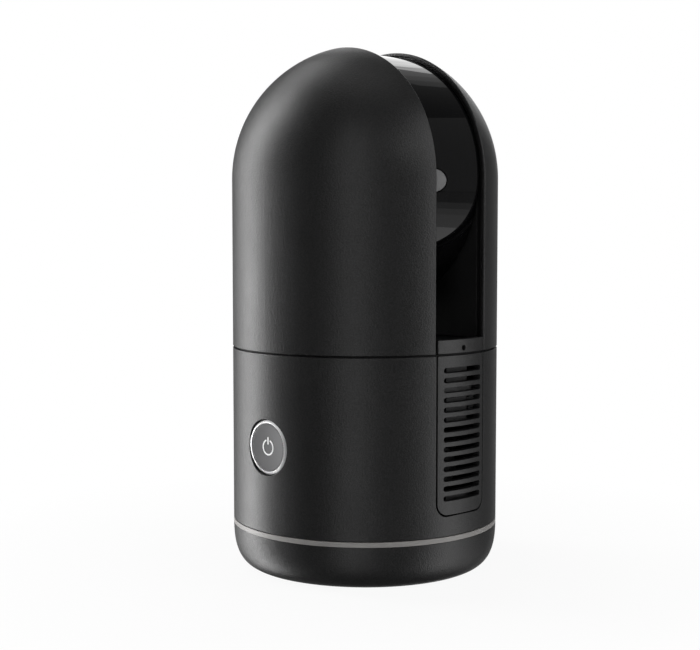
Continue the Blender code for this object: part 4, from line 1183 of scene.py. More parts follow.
@dataclass
class Foot(SubAssembly):
    """Bottom cap, light band, rubber foot ring and the fittings of the underside."""

    form: Form
    segments: int = 192
    corner_steps: int = 40
    groove_gap: float = 0.25 * MM
    groove_depth: float = 1.2 * MM
    groove_edge: float = 0.15 * MM
    cap_floor: float = 3.4 * MM
    cap_edge: float = 0.12 * MM
    band_depth: float = 3.5 * MM
    band_steps: int = 4
    notch: float = 0.35 * MM
    pads: int = 4
    pad_angle: float = 14.0
    pad_edge: float = 0.25 * MM
    ramp_angle: float = 1.5
    socket_bore: float = 4.2 * MM
    socket_depth: float = 8.0 * MM
    socket_lead: float = 0.4 * MM
    socket_face: float = 13.0 * MM
    socket_boss: float = 7.8 * MM
    socket_flange: Point = (3.65 * MM, 6.45 * MM)
    screw_counterbore: float = 0.25 * MM
    screw_count: int = 4
    screw_head: float = 1.2 * MM
    screw_shank: float = 1.1 * MM
    screw_key: float = 1.15 * MM
    screw_key_depth: float = 0.84 * MM
    screw_segments: int = 32

    @property
    def screw_nodes(self) -> list[str]:
        """Names of the cap screws' solids."""
        return [f"cap_screw_{number}" for number in range(1, self.screw_count + 1)]

    def build(self) -> None:
        """Build the foot's pieces from the ground up."""
        self.build_cap()
        self.build_band()
        self.build_foot_ring()
        self.build_socket()
        self.build_screws()

    def build_cap(self) -> None:
        """Cap with the rounded bottom edge, the foot ring's groove and the screws' counterbores."""
        form = self.form
        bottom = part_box("bottom_cap")[0].z
        outer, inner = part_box("foot_ring")[1].x + self.groove_gap, self.foot_inner() - self.groove_gap
        bore = self.socket_face + self.groove_gap
        top, roof, floor = form.ring_low - form.seam, bottom + self.groove_depth, bottom + self.cap_floor
        run = form.corner_run(bottom, top, self.corner_steps)
        within = run[-1][0] - form.wall
        profile = rounded_path([
            (bore, floor, 0.0), (bore, bottom, SMALL_EDGE), (inner, bottom, SMALL_EDGE), (inner, roof, 0.0),
            (outer, roof, 0.0), (outer, bottom, self.groove_edge), (*run[0], 0.0)], closed=False)
        rim = [(*run[-2], 0.0), (*run[-1], self.cap_edge), (within, top, 0.0)]
        profile += run[1:-1] + rounded_path(rim, closed=False)[1:]
        profile += [(within - form.wall, floor + form.wall), (within - 2 * form.wall, floor)]
        cap = self.mesh_object("bottom_cap_moulded", lathe(profile, self.segments))
        for node in self.screw_nodes:
            low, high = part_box(node)
            spot = middle_of(node)
            tool = rectangle((0.0, (high.x - low.x) / 2 + self.screw_counterbore), (-OVERCUT, high.z))
            self.carve(cap, lathe(tool, self.screw_segments, Axis.Z, Vector((spot.x, spot.y, 0.0))))
        self.dress(self.weigh(cap), BODY_SATIN, Body.BASE, Slot.BODY, "bottom_cap")

    def foot_inner(self) -> float:
        """Inner radius of the foot ring."""
        corners = np.array([vertex.co for vertex in frame["nodes"]["foot_ring"].data.vertices])
        return float(np.min(np.hypot(corners[:, 0], corners[:, 1])))

    def build_band(self) -> None:
        """Light band that sits flush between cap and housing."""
        form = self.form
        inner = form.radius - self.band_depth
        outer = form.corner_run(form.ring_low, form.ring_top, self.band_steps)
        profile = [(inner, form.ring_low), *outer, (inner, form.ring_top)]
        band = self.mesh_object("light_band_frosted", lathe(profile, self.segments))
        self.dress(self.weigh(band), BAND_FROST, Body.BASE, Slot.BAND, "light_ring")

    def build_foot_ring(self) -> None:
        """Rubber ring that stands on four pads, with soft ramps between pad and notch."""
        low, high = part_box("foot_ring")
        inner, apart = self.foot_inner(), 360.0 / self.pads
        rows = []
        for step in range(2 * self.segments):
            degrees = 360.0 * step / (2 * self.segments)
            off_pad = abs((degrees + apart / 2) % apart - apart / 2) - self.pad_angle / 2
            share = min(1.0, max(0.0, off_pad / self.ramp_angle))
            bottom = low.z + self.notch * share * share * (3 - 2 * share)
            profile = rectangle((inner, high.x), (bottom, high.z), (self.pad_edge, self.pad_edge, 0.0, 0.0))
            rows.append([Axis.Z.place(radius, along, math.radians(degrees)) for radius, along in profile])
        ring = self.mesh_object("foot_ring_rubber", loft(rows, closed=True))
        self.dress(self.weigh(ring), FOOT_RUBBER, Body.BASE, Slot.RUBBER, "foot_ring")

    def build_socket(self) -> None:
        """Tripod socket with its bore, dressed in turned steel."""
        low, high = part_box("tripod_socket")
        bore, boss, face, flange = self.socket_bore, self.socket_boss, self.socket_face, high.x
        roof = low.z + self.socket_depth
        flange_low, flange_high = (low.z + height for height in self.socket_flange)
        profile = rounded_path([
            (0.0, roof, 0.0), (bore, roof, SMALL_EDGE), (bore, low.z, self.socket_lead),
            (face, low.z, SOFT_EDGE), (face, flange_low, 0.0), (flange, flange_low, SMALL_EDGE),
            (flange, flange_high, SMALL_EDGE), (boss, flange_high, SOFT_EDGE), (boss, high.z, SOFT_EDGE),
            (0.0, high.z, 0.0)])
        socket = self.mesh_object("tripod_socket_turned", lathe(profile, self.segments // 2))
        self.dress(self.weigh(socket), TURNED_STEEL, Body.BASE, Slot.STEEL, "tripod_socket")

    def build_screws(self) -> None:
        """Socket-head screws of the cap, one screw set round by a node tree."""
        nodes = self.screw_nodes
        low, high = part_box(nodes[0])
        spot, head, shank = middle_of(nodes[0]), (high.x - low.x) / 2, self.screw_shank
        neck = low.z + self.screw_head
        profile = rounded_path([(0.0, low.z, 0.0), (head, low.z, SMALL_EDGE), (head, neck, FINE_EDGE),
                                (shank, neck, 0.0), (shank, high.z, SMALL_EDGE), (0.0, high.z, 0.0)])
        screw = self.mesh_object("cap_screws_turned", lathe(profile, self.screw_segments))
        hexagon = arc_points((0.0, 0.0), (self.screw_key,) * 2, 0.0, 360.0, 6)[:-1]
        levels = (low.z - OVERCUT, low.z + self.screw_key_depth)
        self.carve(screw, loft([[Vector((x, y, z)) for x, y in hexagon] for z in levels]))
        self.run_tree(screw, ring_tree(), {
            "Count": self.screw_count, "Radius": math.hypot(spot.x, spot.y),
            "Turn": math.atan2(spot.y, spot.x), "Material": TURNED_STEEL.material()})
        self.dress(screw, TURNED_STEEL, Body.BASE, Slot.STEEL, *nodes)


@dataclass
class Housing(SubAssembly):
    """Lower housing with the openings for vents, button and battery door."""

    form: Form
    panel_sill: float = 0.4 * MM
    panel_corner: float = 4.0 * MM
    panel_steps: int = 10
    edge: float = 0.12 * MM
    door_gap: float = 0.25 * MM
    hinge_gap: float = 0.5 * MM
    hinge_corner: float = 0.4 * MM
    door_corner: float = 2.5 * MM
    door_steps: int = 8
    button_gap: float = 0.32 * MM
    rim_inset: float = 1.1 * MM
    rim_gap: float = 0.12 * MM
    rim_sink: float = 0.05 * MM
    rim_steps: int = 2
    hole_steps: int = 72

    @property
    def panel_bottom(self) -> float:
        """Height of the foot of a vent panel's opening."""
        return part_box("vent_panel_front")[0].z - self.panel_sill

    def panel_corners(self, gap: float) -> list[Corner]:
        """Corners of a vent panel's opening.

        Args:
            gap: How far the opening is drawn in.

        Returns:
            The corners from upper left round the foot to upper right, each with its radius.
        """
        half = self.form.panel_half - gap
        corner = self.panel_corner - gap
        top, foot = self.form.base_top, self.panel_bottom + gap
        return [(-half, top, 0.0), (-half, foot, corner), (half, foot, corner), (half, top, 0.0)]

    def build(self) -> None:
        """Build the wall as one sheet that goes right round and meets itself behind."""
        form = self.form
        half_turn = math.pi * form.radius
        bottom, top = form.ring_top + form.seam, form.base_top
        front = rounded_path(self.panel_corners(0.0), self.panel_steps, False)
        left = [(u + half_turn, v) for u, v in front if u <= 0.0]
        right = [(u - half_turn, v) for u, v in front if u >= 0.0]
        foot = self.panel_bottom
        outline = [(-half_turn, bottom)] + self.run_points(-half_turn, half_turn, bottom)
        outline += [(half_turn, bottom), (half_turn, foot)] + left[::-1]
        outline += self.run_points(left[0][0], front[-1][0], top) + front[::-1]
        outline += self.run_points(front[0][0], right[-1][0], top) + right[::-1] + [(-half_turn, foot)]
        seams = frozenset(index for index, (u, _) in enumerate(outline)
                          if abs(abs(u) - half_turn) < MERGE and
                          abs(outline[(index + 1) % len(outline)][0] - u) < MERGE)
        shape = Sheet(wrap(form.radius, 0.0), form.wall, self.edge).build(
            outline, [self.button_hole(), self.doorway()], seams)
        wall = self.mesh_object("lower_housing_moulded", shape)
        radial_normals(wall.data, form.radius, Axis.Z)
        self.dress(wall, BODY_SATIN, Body.BASE, Slot.BODY, "lower_housing")
        self.build_split_rim()

    def build_split_rim(self) -> None:
        """Thin dark rim in the split that keeps dust and light out of the drive."""
        form = self.form
        profile = rectangle((form.radius - form.wall + FINE_EDGE, form.radius - self.rim_inset),
                            (form.base_top - self.rim_sink, form.head_bottom - self.rim_gap),
                            (0.0, 0.0, FINE_EDGE, FINE_EDGE), self.rim_steps)
        rim = self.mesh_object("split_rim", lathe(profile, Foot.segments))
        self.dress(self.weigh(rim), INNER_SATIN, Body.BASE, Slot.INNER)

    def run_points(self, start: float, end: float, height: float) -> Loop:
        """Points along a level edge, close enough to follow the round body.

        Args:
            start: Where the edge starts.
            end: Where it ends.
            height: Its height.

        Returns:
            The points between the two ends.
        """
        count = max(2, round(abs(end - start) / Sheet.pitch[0]))
        return [(start + (end - start) * step / count, height) for step in range(1, count)]

    def button_hole(self) -> Loop:
        """Edge of the hole round the button's ring.

        Returns:
            The points, clockwise.
        """
        low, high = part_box("button_bezel")
        radius = Button.ring_radius + self.button_gap
        middle = (-0.5 * math.pi * self.form.radius, (low.z + high.z) / 2)
        return arc_points(middle, (radius, radius), 360.0, 0.0, self.hole_steps)[:-1]

    def doorway(self) -> Loop:
        """Edge of the battery doorway.

        Returns:
            The points, clockwise.
        """
        low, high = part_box("battery_door")
        radius, barrel = self.form.radius, self.form.wall / 2
        middle = 0.5 * math.pi * radius
        first = middle + radius * math.asin(low.y / radius) - self.door_gap
        hinge = middle_of("door_hinge_pin")
        hinge_turn = math.atan2(hinge.y, hinge.x) + (barrel + self.hinge_gap) / (radius - barrel)
        last = middle + radius * hinge_turn
        foot, top = low.z - self.door_gap, high.z + self.door_gap
        return rounded_path([
            (first, foot, self.door_corner), (first, top, self.door_corner),
            (last, top, self.hinge_corner), (last, foot, self.hinge_corner)], self.door_steps)


@dataclass
class VentPanel(SubAssembly):
    """Louvred panel, cut flat by a node tree and then bent round the housing."""

    form: Form
    housing: Housing
    node: str
    facing: float
    louvres: int = 14
    pitch: float = 2.81 * MM
    length: float = 15.9 * MM
    height: float = 1.48 * MM
    shift: float = 0.35 * MM
    top_margin: float = 4.15 * MM
    lip: float = 0.12 * MM
    lip_steps: int = 3
    run_steps: int = 10
    end_steps: int = 8

    def build(self) -> None:
        """Cut the louvres and bend the panel."""
        form, housing = self.form, self.housing
        outline = rounded_path(housing.panel_corners(form.panel_gap), housing.panel_steps)
        flat = Sheet(lambda run, height, depth: Vector((run, depth, height)), form.wall, housing.edge)
        panel = self.mesh_object(self.node + "_louvred", flat.build(outline))
        cutter = self.mesh_object(self.node + "_cutter", self.slot_tool())
        self.run_tree(panel, louvre_tree(), {
            "Cutter": cutter, "Count": self.louvres, "Pitch": self.pitch, "Radius": form.radius,
            "Top": form.base_top - self.top_margin, "Facing": self.facing, "Material": BODY_SATIN.material()})
        bpy.data.objects.remove(cutter, do_unlink=True)
        self.soften(panel.data)
        radial_normals(panel.data, form.radius, Axis.Z)
        self.dress(panel, BODY_SATIN, Body.BASE, Slot.BODY, self.node)

    def slot_tool(self) -> Shape:
        """Louvre-shaped tool whose mouth flares, so that each louvre gets a rounded lip.

        Returns:
            The tool's shape.
        """
        rows = [(self.lip * 2.0, -OVERCUT), *quarter_round(self.lip, self.lip_steps)]
        rows.append((0.0, self.form.wall + OVERCUT))
        points = []
        for grow, depth in rows:
            half, tall = self.length / 2 + grow, self.height / 2 + grow
            points.append([Vector((u + self.shift, depth, v)) for u, v in self.stadium(half, tall)])
        return loft(points)

    def stadium(self, half: float, tall: float) -> Loop:
        """Outline of a louvre, with straight runs in short steps so that it bends well.

        Args:
            half: Half its length.
            tall: Half its height.

        Returns:
            The points, counterclockwise.
        """
        reach = half - tall
        steps = [reach - 2 * reach * step / self.run_steps for step in range(self.run_steps + 1)]
        left = arc_points((-reach, 0.0), (tall, tall), 90.0, 270.0, self.end_steps)[1:-1]
        right = arc_points((reach, 0.0), (tall, tall), -90.0, 90.0, self.end_steps)[1:-1]
        return [(run, tall) for run in steps] + left + [(-run, -tall) for run in steps] + right


@dataclass
class AirGuide(SubAssembly):
    """Plates behind the front louvres, above and below the fan's mouth."""

    form: Form
    face: float = 35.9 * MM
    thickness: float = 0.9 * MM
    corner: float = 0.4 * MM
    pitch: Point = (3.0 * MM, 3.0 * MM)
    left: float = -2.9 * MM
    plates: tuple[Corner, ...] = (
        (6.1 * MM, 57.4 * MM, 65.4 * MM), (6.1 * MM, 46.2 * MM, 53.8 * MM), (8.8 * MM, 20.6 * MM, 26.4 * MM))

    def build(self) -> None:
        """Build the plates as one piece."""
        sheet = Sheet(lambda run, height, depth: Vector((run, depth - self.face, height)), self.thickness,
                      pitch=self.pitch)
        shapes = [sheet.build(rectangle((self.left, right), (low, high), (self.corner,) * 4))
                  for right, low, high in self.plates]
        guide = self.mesh_object("air_guides", join(shapes))
        # The plates' lighter grey is partly painted light, for the light that comes in through the louvres.
        self.dress(self.weigh(guide), GUIDE_GREY_PAINTED_LIGHT, Body.BASE, Slot.INNER)


@dataclass
class Button(SubAssembly):
    """Power button with its bevelled ring and its printed sign."""

    form: Form
    ring_radius: float = 7.85 * MM
    ring_width: float = 0.85 * MM
    ring_rise: float = 0.36 * MM
    ring_sink: float = 0.98 * MM
    ring_lip: float = 0.06 * MM
    cap_gap: float = 0.12 * MM
    cap_edge: float = 0.15 * MM
    cap_depth: float = 2.6 * MM
    stem_radius: float = 2.0 * MM
    dish: float = 0.2 * MM
    dish_steps: int = 12
    edge_steps: int = 4
    sign_radius: float = 2.12 * MM
    sign_stroke: float = 0.46 * MM
    sign_gap: float = 26.0
    sign_low: float = 0.8 * MM
    sign_high: float = 3.0 * MM
    sign_face: float = 0.13 * MM
    sign_back: float = 0.4 * MM
    sign_steps: int = 48
    sign_end: tuple[float, ...] = (80.0, 60.0, 40.0, 20.0)
    segments: int = 128

    @property
    def centre(self) -> Vector:
        """Point on the button's axis at the turning axis."""
        low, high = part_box("power_button")
        return Vector((0.0, 0.0, (low.z + high.z) / 2))

    def build(self) -> None:
        """Build ring, cap and sign."""
        self.build_ring()
        self.build_cap()
        self.build_sign()

    def build_ring(self) -> None:
        """Ring whose bright face slopes outwards, sunk in the housing's hole."""
        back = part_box("button_bezel")[1].x
        outer, inner = self.ring_radius, self.ring_radius - self.ring_width
        face = -self.form.radius + self.ring_sink
        profile = rounded_path([(inner, face - self.ring_rise, self.ring_lip), (outer, face, FINE_EDGE),
                                (outer, back, FINE_EDGE), (inner, back, FINE_EDGE)], self.edge_steps)
        ring = self.mesh_object("button_ring_turned", lathe(profile, self.segments, Axis.X, self.centre))
        self.dress(self.weigh(ring), silver_finish(self.centre), Body.BASE, Slot.SILVER, "button_bezel")

    def build_cap(self) -> None:
        """Round cap with a dished face, a softened edge and its stem."""
        low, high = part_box("power_button")
        radius, stem = self.ring_radius - self.ring_width - self.cap_gap, self.stem_radius
        back = low.x + self.cap_depth
        shares = [step / self.dish_steps for step in range(self.dish_steps)]
        face = [(radius * share, low.x + self.dish * (1 - share ** 2), 0.0) for share in shares]
        profile = rounded_path([*face, (radius, low.x, self.cap_edge), (radius, back, FINE_EDGE),
                                (stem, back, SMALL_EDGE), (stem, high.x, SMALL_EDGE), (0.0, high.x, 0.0)],
                               self.edge_steps)
        cap = self.mesh_object("power_button_cap", lathe(profile, self.segments, Axis.X, self.centre))
        self.dress(self.weigh(cap), BUTTON_SATIN, Body.BUTTON, Slot.BUTTON, "power_button")

    def build_sign(self) -> None:
        """Generic power sign: an open circle with a bar in its gap, printed on the cap."""
        circle = arc_points((0.0, 0.0), (self.sign_radius,) * 2, 90.0 + self.sign_gap, 450.0 - self.sign_gap,
                            self.sign_steps)
        half = self.sign_stroke / 2
        bar = [(0.0, self.sign_low + half), (0.0, self.sign_high - half)]
        sign = self.mesh_object("power_sign", join([self.stroke(circle), self.stroke(bar)]))
        self.dress(sign, SIGN_PRINT, Body.BUTTON, Slot.BUTTON)

    def stroke(self, spine: Loop) -> Shape:
        """Round-ended stroke of the sign, a little proud of the cap.

        Args:
            spine: Middle line of the stroke on the cap's face.

        Returns:
            Closed shape of the stroke.
        """
        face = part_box("power_button")[0].x
        front, back = face + self.sign_face, face + self.sign_back
        half = self.sign_stroke / 2
        stations = []
        for index, (u, v) in enumerate(spine):
            (u0, v0), (u1, v1) = spine[max(index - 1, 0)], spine[min(index + 1, len(spine) - 1)]
            length = math.hypot(u1 - u0, v1 - v0)
            stations.append((u, v, (u1 - u0) / length, (v1 - v0) / length, half))
        turns = [math.radians(angle) for angle in self.sign_end]
        ends = []
        for (u, v, du, dv, _), sign in ((stations[0], -half), (stations[-1], half)):
            ends.append([(u + du * sign * math.sin(turn), v + dv * sign * math.sin(turn), du, dv,
                          half * math.cos(turn)) for turn in turns])
        rows = []
        for u, v, du, dv, reach in [*ends[0], *stations, *reversed(ends[1])]:
            left, right = (u - dv * reach, v + du * reach), (u + dv * reach, v - du * reach)
            rows.append([Vector((x, -side, rise)) + self.centre for (side, rise), x in
                         ((left, front), (right, front), (right, back), (left, back))])
        return loft(rows)


@dataclass
class BatteryDoor(SubAssembly):
    """Hinged door over the battery, with a finger scoop."""

    form: Form
    corner: float = 2.25 * MM
    pitch: Point = (0.7 * MM, 0.7 * MM)
    scoop_inset: float = 2.5 * MM
    scoop_radius: float = 5.0 * MM
    scoop_depth: float = 0.8 * MM
    scoop_slope: float = 2.2
    pin_gap: float = 0.15 * MM
    barrel_segments: int = 32

    def build(self) -> None:
        """Bend the door's sheet round the housing and add its hinge barrel."""
        low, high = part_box("battery_door")
        pin_low, pin_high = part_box("door_hinge_pin")
        radius, barrel = self.form.radius, self.form.wall / 2
        hinge = middle_of("door_hinge_pin")
        first = radius * math.asin(low.y / radius)
        last = radius * math.atan2(hinge.y, hinge.x)
        scoop = (first + self.scoop_inset, (low.z + high.z) / 2)

        def relief(run: float, height: float) -> float:
            """Depth of the finger scoop at a point of the door."""
            share = max(0.0, 1.0 - math.hypot(run - scoop[0], height - scoop[1]) / self.scoop_radius)
            return self.scoop_depth * min(1.0, self.scoop_slope * share) ** 2

        corners = (self.corner, 0.0, 0.0, self.corner)
        outline = rectangle((first, last), (low.z, high.z), corners, Housing.door_steps)
        sheet = Sheet(wrap(radius, 0.5 * math.pi), self.form.wall, pitch=self.pitch, relief=relief)
        bore = (pin_high.x - pin_low.x) / 2 + self.pin_gap
        profile = rectangle((bore, barrel), (low.z, high.z), (0.0, SMALL_EDGE, SMALL_EDGE, 0.0))
        tube = lathe(profile, self.barrel_segments, Axis.Z, Vector((hinge.x, hinge.y, 0.0)))
        door = self.mesh_object("battery_door_moulded", join([sheet.build(outline), tube]))
        radial_normals(door.data, radius, Axis.Z)
        self.dress(door, BODY_SATIN, Body.DOOR, Slot.BODY, "battery_door")


@dataclass
class HeadShells(SubAssembly):
    """The two half domes, the lips at the slot's foot and the slot's floor and walls."""

    form: Form
    edge: float = 0.5 * MM
    edge_steps: int = 5
    foot_edge: float = 0.10 * MM
    foot_steps: int = 4
    crown: float = 0.9985
    arc_steps: int = 48
    rise_steps: int = 12
    over_steps: int = 96
    rim: float = 1.05 * MM
    rim_edge: float = 0.15 * MM
    rebate: float = 1.2 * MM
    wall_slack: float = 0.5 * MM
    wall_pitch: Point = (6.0 * MM, 6.0 * MM)
    bearing_hole: float = 7.45 * MM
    lens_hole: float = 6.95 * MM
    hole_steps: int = 64
    boss_wall: float = 2.3 * MM
    lip_pitch: Point = (0.9 * MM, 0.9 * MM)
    lip_hole: float = 0.75 * MM
    lip_hole_height: float = 1.4 * MM
    lip_hole_steps: int = 32
    floor_bore: float = 3.0 * MM
    floor_segments: int = 144

    def build(self) -> None:
        """Build both shells, lips, walls and the floor."""
        for node, side in (("left_shell", -1), ("right_shell", 1)):
            self.build_shell(node, side)
        for node, facing in (("front_lip", 0.0), ("rear_lip", math.pi)):
            self.build_lip(node, facing)
        for node, side in (("left_wall", -1), ("right_wall", 1)):
            self.build_wall(node, side)
        self.build_floor()

    def section(self, inset: float) -> Loop:
        """Cross-section of a shell as (distance from the slot's middle plane, radius about the drum's axis).

        Args:
            inset: How far the outer face is drawn in, for the rounding of the foot's edge.

        Returns:
            Closed outline from the outer pole along the outer face to the slot, round the rebate behind the
            rim, and back along the inner face.
        """
        outer, inner = self.form.radius - inset, self.form.radius - self.form.wall
        half = self.form.half_slot
        near = half + 4 * self.edge
        near_outer, near_inner = (math.degrees(math.asin(near / size)) for size in (outer, inner))
        out = [(outer * math.sin(a), outer * math.cos(a)) for a in self.angles(90.0, near_outer)]
        back = [(inner * math.sin(a), inner * math.cos(a)) for a in self.angles(near_inner, 90.0)]
        top, deep = math.sqrt(outer ** 2 - half ** 2), half + self.rebate
        low = top - self.rim
        rim = rounded_path([
            (*out[-1], 0.0), (half, top, self.edge), (half, low, self.rim_edge), (deep, low, FINE_EDGE),
            (deep, math.sqrt(inner ** 2 - deep ** 2), SMALL_EDGE), (*back[0], 0.0)], self.edge_steps, False)
        return out[:-1] + rim + back[1:]

    def angles(self, start: float, end: float) -> list[float]:
        """Even steps between two angles in degrees, in radians."""
        steps = self.arc_steps
        return [math.radians(start + (end - start) * step / steps) for step in range(steps + 1)]

    def build_shell(self, node: str, side: int) -> None:
        """Carry the section up the front, over the dome and down the back.

        Args:
            node: Solid that the piece stands for.
            side: -1 for the left shell and 1 for the right one.
        """
        axis, foot, plain = self.form.drum_axis, self.form.head_bottom, self.section(0.0)
        start = foot + self.foot_edge
        rising = [(self.section(inset), foot + rise)
                  for inset, rise in quarter_round(self.foot_edge, self.foot_steps)]
        rising += [(plain, start + (axis - start) * step / self.rise_steps)
                   for step in range(1, self.rise_steps)]
        rows = [[Vector((side * x, -r, z)) for x, r in section] for section, z in rising]
        for step in range(self.over_steps + 1):
            turn = math.pi * step / self.over_steps
            rows.append([Vector((side * x, -r * math.cos(turn), axis + self.crown * r * math.sin(turn)))
                         for x, r in plain])
        rows += [[Vector((side * x, r, z)) for x, r in section] for section, z in reversed(rising)]
        shell = self.mesh_object(node + "_moulded", loft(rows))
        self.dress(self.weigh(shell), BODY_SATIN, Body.HEAD, Slot.BODY, node)

    def build_lip(self, node: str, facing: float) -> None:
        """Lip between the shells at the slot's foot; the front one has a small sensor hole.

        Args:
            node: Solid that the piece stands for.
            facing: Angle of its middle from -Y, in radians.
        """
        form = self.form
        low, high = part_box(node)
        half = form.panel_half - form.panel_gap
        outline = rectangle((-half, half), (low.z, high.z), (SMALL_EDGE,) * 4)
        middle = (0.0, low.z + self.lip_hole_height)
        hole = arc_points(middle, (self.lip_hole,) * 2, 360.0, 0.0, self.lip_hole_steps)[:-1]
        holes = [hole] if facing == 0.0 else []
        sheet = Sheet(wrap(form.radius, facing), form.wall, pitch=self.lip_pitch)
        lip = self.mesh_object(node + "_moulded", sheet.build(outline, holes))
        radial_normals(lip.data, form.radius, Axis.Z)
        self.dress(lip, BODY_SATIN, Body.HEAD, Slot.BODY, node)

    def build_wall(self, node: str, side: int) -> None:
        """Flat wall beside the drum, under an arch like the dome's; the right one has the bearing's boss.

        Args:
            node: Solid that the piece stands for.
            side: -1 for the left wall and 1 for the right one.
        """
        wall, centre = self.form.wall, (0.0, self.form.drum_axis)
        low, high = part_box(node)
        face = low.x if side > 0 else high.x
        hole = self.bearing_hole if side > 0 else self.lens_hole
        reach, top = high.y - self.wall_slack, high.z - self.form.drum_axis - self.wall_slack
        arch = arc_points(centre, (reach, top), 0.0, 180.0, self.hole_steps)
        outline = [(-reach, low.z), (reach, low.z), *arch]
        cut = arc_points(centre, (hole, hole), 360.0, 0.0, self.hole_steps)[:-1]
        sheet = Sheet(lambda run, height, depth: Vector((face + side * depth, run, height)), wall,
                      pitch=self.wall_pitch)
        shapes = [sheet.build(outline, [cut])]
        if side > 0:
            boss = rectangle((hole, hole + self.boss_wall), (face + 0.5 * wall, high.x))
            shapes.append(lathe(boss, self.hole_steps, Axis.X, Vector((0.0, *centre))))
        piece = self.mesh_object(node + "_moulded", join(shapes))
        self.dress(self.weigh(piece), INNER_SATIN, Body.HEAD, Slot.INNER, node)

    def build_floor(self) -> None:
        """Turntable that closes the slot's foot."""
        low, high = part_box("turntable")
        radii = (0.0, SMALL_EDGE, SOFT_EDGE, SOFT_EDGE)
        profile = rectangle((self.floor_bore, high.x), (low.z, high.z), radii)
        floor = self.mesh_object("turntable_moulded", lathe(profile, self.floor_segments))
        self.dress(self.weigh(floor), INNER_SATIN, Body.HEAD, Slot.INNER, "turntable")


@dataclass
class Drum(SubAssembly):
    """Polished mirror drum with its oval window."""

    form: Form
    edge: float = 0.5 * MM
    edge_steps: int = 5
    wall: float = 2.2 * MM
    web: float = 2.2 * MM
    web_corner: float = 1.0 * MM
    hub_corner: float = 0.8 * MM
    hub_radius: float = 8.0 * MM
    hub_length: float = 5.6 * MM
    bore: float = 3.25 * MM
    window_width: float = 5.55 * MM
    window_half: float = 3.45 * MM
    window_drop: float = 1.1 * MM
    window_gap: float = 0.2 * MM
    window_sink: float = 0.25 * MM
    window_pitch: Point = (0.8 * MM, 0.8 * MM)
    window_steps: int = 24
    setback: float = 0.2 * MM
    segments: int = 256

    def __post_init__(self) -> None:
        """Read the drum's size and place from its solid."""
        low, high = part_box("drum_shell")
        self.half = high.x
        self.radius = (high.z - low.z) / 2 - self.setback
        self.centre = Vector((0.0, 0.0, self.form.drum_axis))

    def build(self) -> None:
        """Build the drum and its window."""
        inner, web, hub = self.radius - self.wall, self.half - self.web, self.hub_radius
        hub_end = web - self.hub_length
        profile = rounded_path([
            (self.bore, self.half, 0.0), (self.radius, self.half, self.edge),
            (self.radius, -self.half, self.edge), (inner, -self.half, SMALL_EDGE),
            (inner, web, self.web_corner), (hub, web, self.hub_corner), (hub, hub_end, SOFT_EDGE),
            (self.bore, hub_end, 0.0)], self.edge_steps)
        drum = self.mesh_object("drum_polished", lathe(profile, self.segments, Axis.X, self.centre))
        self.carve(drum, self.window_tool())
        radial_normals(drum.data, self.radius, Axis.X, self.centre)
        self.dress(drum, DRUM_POLISH, Body.DRUM, Slot.GLOSS, "drum_shell")
        self.build_window()

    def window_arc(self, gap: float, axis: float) -> Loop:
        """Round end of the window's outline.

        Args:
            gap: How far it is drawn in.
            axis: Height of the drum's axis.

        Returns:
            Points of (place along the drum, height).
        """
        size = (self.window_width - gap, self.window_half - gap)
        return arc_points((-self.half, axis - self.window_drop), size, -90.0, 90.0, self.window_steps)

    def window_tool(self) -> Shape:
        """Solid with the window's outline, from inside the drum out past its front and its left end.

        Returns:
            The solid's shape.
        """
        arc = self.window_arc(0.0, self.form.drum_axis)
        past = -self.half - 2 * OVERCUT
        outline = [(past, arc[0][1]), *arc, (past, arc[-1][1])]
        depths = (-self.radius - 2 * OVERCUT, self.window_half + self.wall - self.radius)
        return loft([[Vector((u, depth, v)) for u, v in outline] for depth in depths])

    def build_window(self) -> None:
        """Grey window that follows the drum's curve, a little under its face."""
        face = self.radius - self.window_sink
        outline = [(u, face * math.asin(v / face)) for u, v in self.window_arc(self.window_gap, 0.0)]

        def place(run: float, height: float, depth: float) -> Vector:
            """Position of one point of the window."""
            angle, away = height / face, face - depth
            return self.centre + Vector((run, -away * math.cos(angle), away * math.sin(angle)))

        sheet = Sheet(place, self.wall - self.window_sink, FINE_EDGE, self.window_pitch)
        window = self.mesh_object("drum_window_glass", sheet.build(outline))
        radial_normals(window.data, face, Axis.X, self.centre)
        self.dress(window, GREY_GLASS, Body.DRUM, Slot.GLASS, "drum_window")


@dataclass
class SoftBox:
    """Area lamp that looks at a point of the object."""

    name: str
    azimuth: float
    elevation: float
    width: float
    height: float
    power: float
    distance: float = 0.80
    aim: float = 0.08

    def build(self) -> None:
        """Add the lamp; azimuth runs from -Y towards +X, in degrees."""
        turn, rise = math.radians(self.azimuth), math.radians(self.elevation)
        way = Vector((math.sin(turn) * math.cos(rise), -math.cos(turn) * math.cos(rise), math.sin(rise)))
        light = bpy.data.lights.new(self.name, "AREA")
        light.shape = "RECTANGLE"
        light.size, light.size_y, light.energy = self.width, self.height, self.power
        lamp = bpy.data.objects.new(self.name, light)
        lamp.location = way * self.distance + Vector((0.0, 0.0, self.aim))
        lamp.rotation_euler = way.to_track_quat("Z", "Y").to_euler()
        bpy.context.scene.collection.objects.link(lamp)


